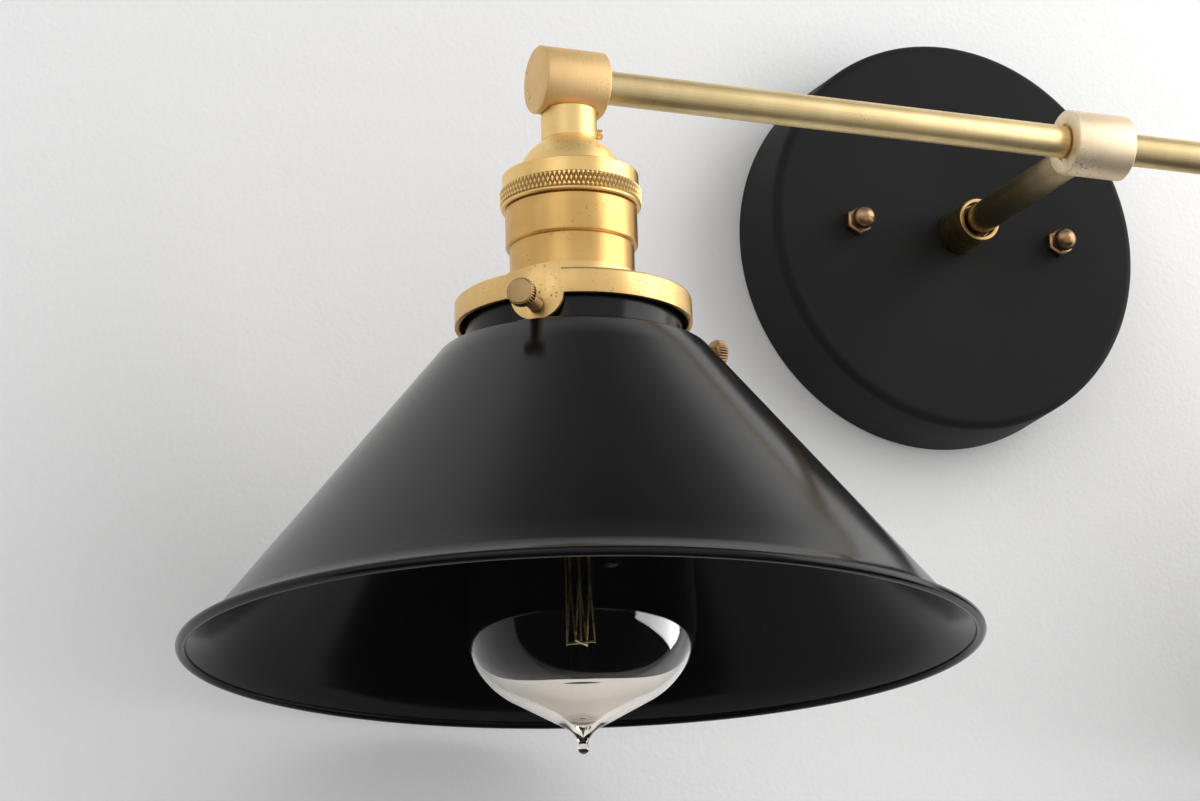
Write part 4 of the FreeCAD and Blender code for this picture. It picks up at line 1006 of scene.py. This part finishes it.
@dataclass
class Holder:
    """Shade holder of one lamp with its three thumb screws."""

    shop: Workshop
    side: Side
    place: Matrix
    screw_height: float = -73.5686
    screw_tip: float = 29.95
    shank: float = 12.55
    shank_radius: float = 2.0
    head_radius: float = 3.9
    head_thick: float = 3.6
    knurl_depth: float = 0.3
    knurl_run_out: float = 0.45
    knurl_sink: float = 0.3
    knurl_margin: float = 0.7
    knurl_teeth: int = 30
    knurl_columns: int = 240
    knurl_rows: int = 9
    thread_ridge: float = 0.2
    thread_pitch: float = 0.75
    thread_inset: float = 0.6
    thread_steps: int = 20
    tip_chamfer: float = 0.4
    head_chamfer: tuple[float, float] = (0.3, 0.4)
    crown: tuple[float, float, float] = (0.35, 0.5, 0.12)
    screw_corner: float = 0.12
    holder_edge: float = 0.22
    angles: tuple[float, float, float] = (230.0, 4.0, 117.0)

    def build(self) -> None:
        """Dress the holder and make the screws."""
        node = f"{self.side.prefix}_shade_holder"
        mesh = copied_mesh(f"{node}_stamped", node, self.holder_edge)
        self.shop.fit(mesh, STAMPED, "fixture", "brass", node)
        for number, angle in enumerate(self.angles, start=1):
            self.screw(number, angle)

    def screw(self, number: int, angle: float) -> None:
        """Make one thumb screw with a threaded shank and a knurled head.

        Args:
            number: Number of the screw.
            angle: Angle about the left lamp's axis in degrees, which the right lamp mirrors.
        """
        turn = math.radians(angle if self.side is Side.LEFT else 180.0 - angle)
        outward = Vector((math.cos(turn), math.sin(turn), 0.0))
        facing = outward.to_track_quat("Z", "Y").to_matrix().to_4x4()
        spot = Matrix.Translation((outward * self.screw_tip + Vector((0.0, 0.0, self.screw_height))) * MM)
        place = self.place @ spot @ facing
        length = self.shank + self.head_thick
        root = self.head_radius - self.knurl_depth
        core = self.shank_radius - self.thread_ridge
        inset, rise = self.head_chamfer
        crown_inset, crown_foot, crown_top = self.crown
        outline = [(0.0, 0.0), (core - self.tip_chamfer, 0.0), (core, self.tip_chamfer), (core, self.shank),
                   (root - inset, self.shank), (root, self.shank + rise), (root, length - crown_foot),
                   (root - crown_inset, length - crown_top), (0.0, length)]
        body = turned_mesh("screw_body", softened(outline, self.screw_corner), place, 64)
        values = {"Radius": self.head_radius * MM, "Height": (self.head_thick - self.knurl_margin) * MM,
                  "Depth": self.knurl_depth * MM, "Slant": 0.0, "Run-out": self.knurl_run_out * MM,
                  "Sink": self.knurl_sink * MM, "Teeth": self.knurl_teeth, "Columns": self.knurl_columns,
                  "Rows": self.knurl_rows, "Material": self.shop.dress(SCREWED)}
        middle = Matrix.Translation((0.0, 0.0, (self.shank + self.head_thick / 2.0) * MM))
        head = self.shop.knurl.mesh("screw_knurl", values, place @ middle)
        cut = self.shank - 2.0 * self.thread_inset
        values = {"Radius": core * MM, "Length": cut * MM, "Turns": cut / self.thread_pitch,
                  "Ridge": self.thread_ridge * MM, "Steps": self.thread_steps,
                  "Material": self.shop.dress(SCREWED)}
        start = place @ Matrix.Translation((0.0, 0.0, self.thread_inset * MM))
        ridge = self.shop.thread.mesh("screw_ridge", values, start)
        node = f"{self.side.prefix}_thumb_screw_{number}"
        mesh = joined_mesh(f"{node}_cut", [body, head, ridge])
        self.shop.fit(mesh, SCREWED, f"{self.side.prefix}_screw_{number}", "brass", node)


@dataclass
class Shade:
    """Spun cone of one lamp with a lip, a neck, a shoulder and a rolled rim."""

    shop: Workshop
    side: Side
    place: Matrix
    lip_radius: float = 30.65
    neck_radius: float = 29.65
    neck_top: float = -65.5686
    lip_height: float = 1.4
    shoulder_radius: float = 35.05
    shoulder_top: float = -78.2686
    shoulder_round: float = 3.0
    rim_height: float = -159.4686
    rim_radius: float = 106.53
    bead: float = 1.4
    flare_width: float = 7.0
    flare_height: float = 5.4
    wall: float = 1.0
    corner: float = 0.3
    slope: tuple[float, float] = (0.76, 0.65)
    inward: float = -0.2

    def flank(self, offset: float) -> list[Point]:
        """Outside of the shade from shoulder to rim, or its inside at an offset.

        Args:
            offset: Distance inwards in millimetres.

        Returns:
            The points from the shoulder down to the bead.
        """
        flare_top = Vector((self.rim_radius - self.flare_width, self.rim_height + self.flare_height))
        centre = Vector((self.shoulder_radius, self.shoulder_top - self.shoulder_round))
        run = flare_top - centre
        lean = math.asin(self.shoulder_round / run.length) + math.atan2(run.x, -run.y)
        points = arc_points(tuple(centre), self.shoulder_round - offset, 90.0, 90.0 - math.degrees(lean), 8)
        cone_end = flare_top - Vector((math.cos(lean), math.sin(lean))) * offset
        cone_start = Vector(points[-1])
        points += [tuple(cone_start.lerp(cone_end, step / 12.0)) for step in range(1, 12)]
        flare_end = (self.rim_radius, self.rim_height + self.wall / 2.0 - offset)
        flare = tangent_arc(tuple(cone_end), (math.sin(lean), -math.cos(lean)), flare_end, 16)
        edge = Vector((self.rim_radius, self.rim_height))
        return points + [point for point in flare if (Vector(point) - edge).length > self.bead]

    def build(self) -> None:
        """Make the shade."""
        inner_neck = self.neck_radius - self.wall
        lip_foot = self.neck_top - self.lip_height
        outside = self.flank(0.0)
        inside = self.flank(self.wall)
        edge = (self.rim_radius, self.rim_height)
        ends = (outside[-1], inside[-1])
        starts = [math.degrees(math.atan2(end[1] - edge[1], end[0] - edge[0])) for end in ends]
        finish = starts[1] - 360.0 if starts[1] > 0.0 else starts[1]
        bend = (self.neck_radius + self.wall, self.shoulder_top + self.wall)
        fillet = arc_points(bend, self.wall, 180.0, 270.0, 5)
        outline = [(inner_neck, self.neck_top), (self.lip_radius, self.neck_top), (self.lip_radius, lip_foot),
                   (self.neck_radius, lip_foot)]
        outline += fillet + outside + arc_points(edge, self.bead, starts[0], finish, 24)
        outline += inside[::-1] + [(inner_neck, self.shoulder_top - self.wall)]
        node = f"{self.side.prefix}_shade"
        mesh = turned_mesh(f"{node}_spun", softened(outline, self.corner), self.place, 224)
        self.mark_inside(mesh)
        self.shop.fit(mesh, SHADE_COAT, node, "black_steel", node)

    def mark_inside(self, mesh: bpy.types.Mesh) -> None:
        """Mark the faces that look at the bulb, for the coat to read."""
        marks = mesh.attributes.new("inside", "FLOAT", "FACE")
        for face in mesh.polygons:
            out = face.center - self.place.translation
            level, rise = self.slope
            outward = Vector((out.x, out.y, 0.0)).normalized() * level + Vector((0.0, 0.0, rise))
            marks.data[face.index].value = 1.0 if face.normal.dot(outward) < self.inward else 0.0


@dataclass
class Bulb:
    """Clear bulb of one lamp with a thick foot and a drawn tip, on a screw base."""

    shop: Workshop
    side: Side
    place: Matrix
    neck_radius: float = 11.95
    glass_top: float = -66.2686
    base_foot: float = -72.2686
    shoulder_radius: float = 16.5
    shoulder: float = -81.2686
    widest_radius: float = 31.35
    widest: float = -153.2686
    wall: float = 0.9
    bowl_round: float = 23.3
    bowl_turn: float = 61.0
    foot_round: float = 21.2
    foot_turn: float = 64.8
    tip_radius: float = 4.3
    tip_bore: float = 3.9
    tip_neck: float = 1.15
    tip_length: float = 4.4
    tip_floor: float = 2.0
    drop_radius: float = 1.55

    def build(self) -> None:
        """Make the glass and dress the base and the inside."""
        name = self.side.prefix
        self.glass()
        for node, finish, slot in (("bulb_base", BASE_METAL, "base_metal"),
                                   ("bulb_insulator", DARK_GLASS, "dark_glass"),
                                   ("bulb_contact", PLATED, "plated_steel")):
            mesh = copied_mesh(f"{name}_{node}_edged", f"{name}_{node}", 0.0)
            self.shop.fit(mesh, finish, f"{name}_bulb", slot, f"{name}_{node}")
        self.shop.paint(f"{name}_bulb_mount", BULB_GLASS)
        self.shop.paint(f"{name}_bulb_wires", WIRE_METAL)
        self.shop.paint(f"{name}_bulb_filament", FILAMENT)

    def side_radius(self, height: float, offset: float) -> float:
        """Radius of the glass's side at a height, at an offset inwards."""
        run = self.widest_radius - self.shoulder_radius
        rise = self.shoulder - self.widest
        radius = (run ** 2 + rise ** 2) / (2.0 * run)
        return self.widest_radius - radius + math.sqrt((radius - offset) ** 2 - (height - self.widest) ** 2)

    def flank(self, offset: float) -> list[Point]:
        """Glass from the top of its neck nearly to the widest height, at an offset inwards."""
        neck = self.neck_radius - offset
        start = (self.side_radius(self.shoulder, offset), self.shoulder)
        lean = (start[0] - self.side_radius(self.shoulder - 1.0, offset), 1.0)
        points = [(neck, self.glass_top)] + tangent_arc(start, lean, (neck, self.base_foot), 8)[::-1]
        steps = 28
        for step in range(1, steps):
            height = self.shoulder + (self.widest - self.shoulder) * step / steps
            points.append((self.side_radius(height, offset), height))
        return points

    def bowl(self, offset: float, bend: float, turn: float, end: float) -> list[Point]:
        """Bowl from the widest height to the tip, along its outside or its inside.

        Args:
            offset: Distance in from the outside at the widest height.
            bend: Radius of the round below it.
            turn: Angle that the round turns through before the straight foot.
            end: Radius at which the foot ends.

        Returns:
            The points from the top down.
        """
        points = arc_points((self.widest_radius - offset - bend, self.widest), bend, 0.0, -turn, 28)
        last = Vector(points[-1])
        foot = Vector((end, last.y - (last.x - end) / math.tan(math.radians(turn))))
        return points + [tuple(last.lerp(foot, step / 6.0)) for step in range(1, 7)]

    def glass(self) -> None:
        """Clear envelope with a thick foot, drawn out to a tip that ends in a drop."""
        outside = self.flank(0.0) + self.bowl(0.0, self.bowl_round, self.bowl_turn, self.tip_radius)
        inside = self.flank(self.wall) + self.bowl(self.wall, self.foot_round, self.foot_turn, self.tip_bore)
        turn = math.radians(self.bowl_turn)
        neck_height = outside[-1][1] - self.tip_length
        draw = tangent_arc(outside[-1], (-math.sin(turn), -math.cos(turn)), (self.tip_neck, neck_height), 10)
        drop_centre = neck_height - math.sqrt(self.drop_radius ** 2 - self.tip_neck ** 2)
        first = math.degrees(math.atan2(neck_height - drop_centre, self.tip_neck))
        drop = arc_points((0.0, drop_centre), self.drop_radius, first - 8.0, -90.0, 14)[:-1]
        ends = [(0.0, drop_centre - self.drop_radius), (0.0, neck_height + self.tip_floor)]
        node = f"{self.side.prefix}_bulb_glass"
        mesh = turned_mesh(f"{node}_blown", outside + draw[1:] + drop + ends + inside[::-1], self.place, 160)
        self.shop.fit(mesh, BULB_GLASS, f"{self.side.prefix}_bulb", "clear_glass", node)


# Studio

@dataclass
class Studio:
    """Pale wall and floor, soft lights and the camera, with the stage's sizes in metres."""

    camera_place: tuple[float, float, float] = (-573.21, -1105.72, -395.16)
    yaw: float = 22.67
    pitch: float = 15.78
    roll: float = -1.44
    lens: float = 123.309
    sensor: float = 36.0
    floor: float = -0.75
    floor_reach: float = 8.0
    floor_tone: float = 0.78
    # Floor tones: painted shade under the key light, and painted dark where glass and metal mirror the floor.
    floor_key_shade_tone: float = 0.36
    mirrored_tone: float = 0.03
    key_slant: float = 0.464
    wall_reach: float = 4.0
    wall_gap: float = 0.0004
    wall_tone: float = 0.87
    # Wall tones: painted light right of the canopy, painted shade near the key light, painted shade high up
    # that the black coat mirrors.
    wall_painted_light_tone: float = 0.97
    wall_key_shade_tone: float = 0.42
    wall_high_shade_tone: float = 0.38
    # A glowing card that lights nothing and shows only as a painted highlight in glass.
    window_right: float = 1.1
    window_depth: tuple[float, float] = (-0.02, -2.0)
    window_height: tuple[float, float] = (-0.62, -0.1)
    window_strength: float = 19.0
    horizon: float = 0.89
    zenith: float = 0.10

    def build(self) -> None:
        """Make the stage, the lights, the world and the camera."""
        self.wall()
        self.ground()
        self.window()
        self.lamp("key_light", (1.25, -0.75, 0.35), (-0.15, -0.1, -0.06), (1.9, 1.9), 24.0)
        self.lamp("fill_light", (-1.3, -1.3, 0.55), (-0.1, -0.1, -0.08), (0.9, 0.9), 1.2)
        self.world()
        self.camera()
        view = bpy.context.scene.view_settings
        view.view_transform = "Standard"

    def plane(self, name: str, corners: list[tuple[float, float, float]],
              material: bpy.types.Material) -> bpy.types.Object:
        """Make one flat sheet of the stage."""
        mesh = bpy.data.meshes.new(name)
        mesh.from_pydata(corners, [], [tuple(range(len(corners)))])
        mesh.materials.append(material)
        sheet = new_object(name, mesh)
        return sheet

    def plaster(self, name: str, tone: float) -> Shader:
        """Pale plain plaster with a soft texture."""
        shader = Shader(name)
        grain = shader.noise("Object", (620.0, 620.0, 620.0), 3.0)
        shader.feed("Base Color", shader.blend(grain, opaque(tone, tone, tone),
                                               opaque(tone * 0.985, tone * 0.985, tone * 0.985)))
        shader.bump(grain, 0.6, 0.3)
        shader.set(Roughness=0.9, Specular_IOR_Level=0.1)
        return shader

    def tone(self, shader: Shader, share: bpy.types.NodeSocket, level: float) -> None:
        """Bring plaster to another grey by a share."""
        plain = shader.surface.inputs["Base Color"].links[0].from_socket
        shader.feed("Base Color", shader.blend(share, plain, opaque(level, level, level)))

    def wall(self) -> None:
        """Wall with painted light right of the canopy, painted shade near the key light, painted shade high
        up that the black coat mirrors, and clear from behind.
        """
        shader = self.plaster("wall_plaster", self.wall_tone)
        spot = shader.node("ShaderNodeSeparateXYZ", {0: shader.places["Object"]}).outputs
        # Painted light: the wall is paler to the right of the canopy.
        self.tone(shader, shader.remap(spot[0], -0.15, 0.12, 0.0, 1.0), self.wall_painted_light_tone)
        # Painted shade: the wall is darker near the key light.
        self.tone(shader, shader.remap(spot[0], 0.25, 0.9, 0.0, 1.0), self.wall_key_shade_tone)
        # Painted shade: the wall is darker high up, so that the black coat mirrors it dark.
        self.tone(shader, shader.remap(spot[2], 0.45, 1.0, 0.0, 1.0), self.wall_high_shade_tone)
        back = shader.node("ShaderNodeNewGeometry").outputs["Backfacing"]
        self.clear_unless(shader, shader.math("SUBTRACT", 1.0, back))
        reach = self.wall_reach
        near = self.wall_gap
        sheet = self.plane("wall", [(-reach, near, self.floor), (reach, near, self.floor),
                                    (reach, near, reach), (-reach, near, reach)], shader.material)
        sheet.visible_diffuse = False
        sheet.visible_shadow = False

    def ground(self) -> None:
        """Pale floor with painted shade under the key light, and painted dark where glass and, near the wall,
        metal mirror it.
        """
        reach = self.floor_reach
        shader = self.plaster("floor_plaster", self.floor_tone)
        ways = shader.node("ShaderNodeLightPath").outputs
        spot = shader.node("ShaderNodeSeparateXYZ", {0: shader.places["Object"]}).outputs
        near = shader.math("MULTIPLY", ways["Is Glossy Ray"], shader.remap(spot[1], -1.3, -0.5, 0.0, 1.0))
        front = shader.math("MULTIPLY", ways["Is Singular Ray"], shader.remap(spot[1], -0.2, -0.4, 0.0, 1.0))
        # Painted shade: the floor is darker where the key light falls.
        behind = shader.math("SUBTRACT", spot[0], shader.math("MULTIPLY", spot[1], self.key_slant))
        lit = shader.math("MULTIPLY", shader.remap(spot[0], 0.1, 0.9, 0.0, 1.0),
                          shader.remap(behind, 1.3, 2.0, 1.0, 0.0))
        self.tone(shader, lit, self.floor_key_shade_tone)
        self.tone(shader, shader.math("MAXIMUM", front, near), self.mirrored_tone)
        self.plane("floor", [(-reach, -reach, self.floor), (reach, -reach, self.floor),
                             (reach, reach, self.floor), (-reach, reach, self.floor)], shader.material)

    def window(self) -> None:
        """Glowing card to the right that lights nothing, and that only glass mirrors as a painted highlight.
        """
        shader = Shader("window_light")
        shader.set(Base_Color=opaque(0.0, 0.0, 0.0), Emission_Color=opaque(1.0, 1.0, 1.0))
        shader.set(Emission_Strength=self.window_strength)
        self.clear_unless(shader, shader.node("ShaderNodeLightPath").outputs["Is Singular Ray"])
        right = self.window_right
        near, far = self.window_depth
        foot, top = self.window_height
        corners = [(right, near, foot), (right, far, foot), (right, far, top), (right, near, top)]
        sheet = self.plane("window", corners, shader.material)
        sheet.visible_camera = False
        sheet.visible_diffuse = False
        sheet.visible_shadow = False

    def clear_unless(self, shader: Shader, share: bpy.types.NodeSocket) -> None:
        """Let light through a sheet, except for a share of it."""
        clear = shader.node("ShaderNodeBsdfTransparent")
        mix = shader.node("ShaderNodeMixShader", {0: share, 1: clear.outputs[0],
                                                  2: shader.surface.outputs[0]})
        output = next(node for node in shader.tree.nodes if node.type == "OUTPUT_MATERIAL")
        shader.tree.links.new(mix.outputs[0], output.inputs["Surface"])

    def lamp(self, name: str, place: tuple[float, float, float], target: tuple[float, float, float],
             size: tuple[float, float], power: float) -> None:
        """Hang a soft rectangular light.

        Args:
            name: Name of the light.
            place: Place in metres.
            target: Point that it faces.
            size: Width and height in metres.
            power: Power in watts.
        """
        light = bpy.data.lights.new(name, "AREA")
        light.shape = "RECTANGLE"
        light.size, light.size_y = size
        light.energy = power
        item = bpy.data.objects.new(name, light)
        item.location = place
        item.rotation_euler = (Vector(target) - Vector(place)).to_track_quat("-Z", "Y").to_euler()
        item.visible_camera = False
        bpy.context.scene.collection.objects.link(item)

    def world(self) -> None:
        """Pale grey surroundings that are darker overhead."""
        world = bpy.data.worlds.new("studio")
        world.use_nodes = True
        tree = Tree(world.node_tree)
        way = tree.node("ShaderNodeTexCoord").outputs["Generated"]
        height = tree.node("ShaderNodeSeparateXYZ", {0: way}).outputs[2]
        level = tree.node("ShaderNodeMapRange", {"Value": height, "From Min": 0.6, "From Max": 0.99,
                                                 "To Min": self.horizon, "To Max": self.zenith}).outputs[0]
        back = tree.node("ShaderNodeBackground", {"Color": opaque(1.0, 1.0, 1.0), "Strength": level})
        tree.node("ShaderNodeOutputWorld", {"Surface": back.outputs[0]})
        bpy.context.scene.world = world

    def camera(self) -> None:
        """Camera at the photograph's viewing angle."""
        yaw, pitch, roll = (math.radians(angle) for angle in (self.yaw, self.pitch, self.roll))
        ahead = Vector((math.sin(yaw) * math.cos(pitch), math.cos(yaw) * math.cos(pitch), math.sin(pitch)))
        right = Vector((math.cos(yaw), -math.sin(yaw), 0.0))
        above = right.cross(ahead)
        tilted = right * math.cos(roll) + above * math.sin(roll)
        upright = above * math.cos(roll) - right * math.sin(roll)
        data = bpy.data.cameras.new("camera")
        data.lens = self.lens
        data.sensor_width = self.sensor
        item = bpy.data.objects.new("camera", data)
        turn = Matrix((tilted, upright, -ahead)).transposed().to_4x4()
        item.matrix_world = Matrix.Translation(Vector(self.camera_place) * MM) @ turn
        bpy.context.scene.collection.objects.link(item)
        bpy.context.scene.camera = item


@dataclass
class VanityLight:
    """The whole light."""

    lamp_offset: float = 165.5
    reach: float = 112.3
    screw_edge: float = 0.15
    shop: Workshop = field(default_factory=Workshop)

    def build(self) -> None:
        """Build every sub-assembly in order."""
        Canopy(self.shop).build()
        Arms(self.shop, self.lamp_offset, self.reach).build()
        for side in Side:
            place = place_at(Axis.UP, side.value * self.lamp_offset, -self.reach)
            Socket(self.shop, side, place).build()
            Holder(self.shop, side, place).build()
            Shade(self.shop, side, place).build()
            Bulb(self.shop, side, place).build()
        mesh = copied_mesh("cap_set_screws_edged", "cap_set_screws", self.screw_edge)
        self.shop.fit(mesh, STAMPED, "fixture", "brass", "cap_set_screws")


def main() -> None:
    """Build the light and the studio."""
    logging.basicConfig(level=logging.INFO, format="%(name)s %(message)s")
    VanityLight().build()
    Studio().build()


if __name__ == "__main__":
    main()
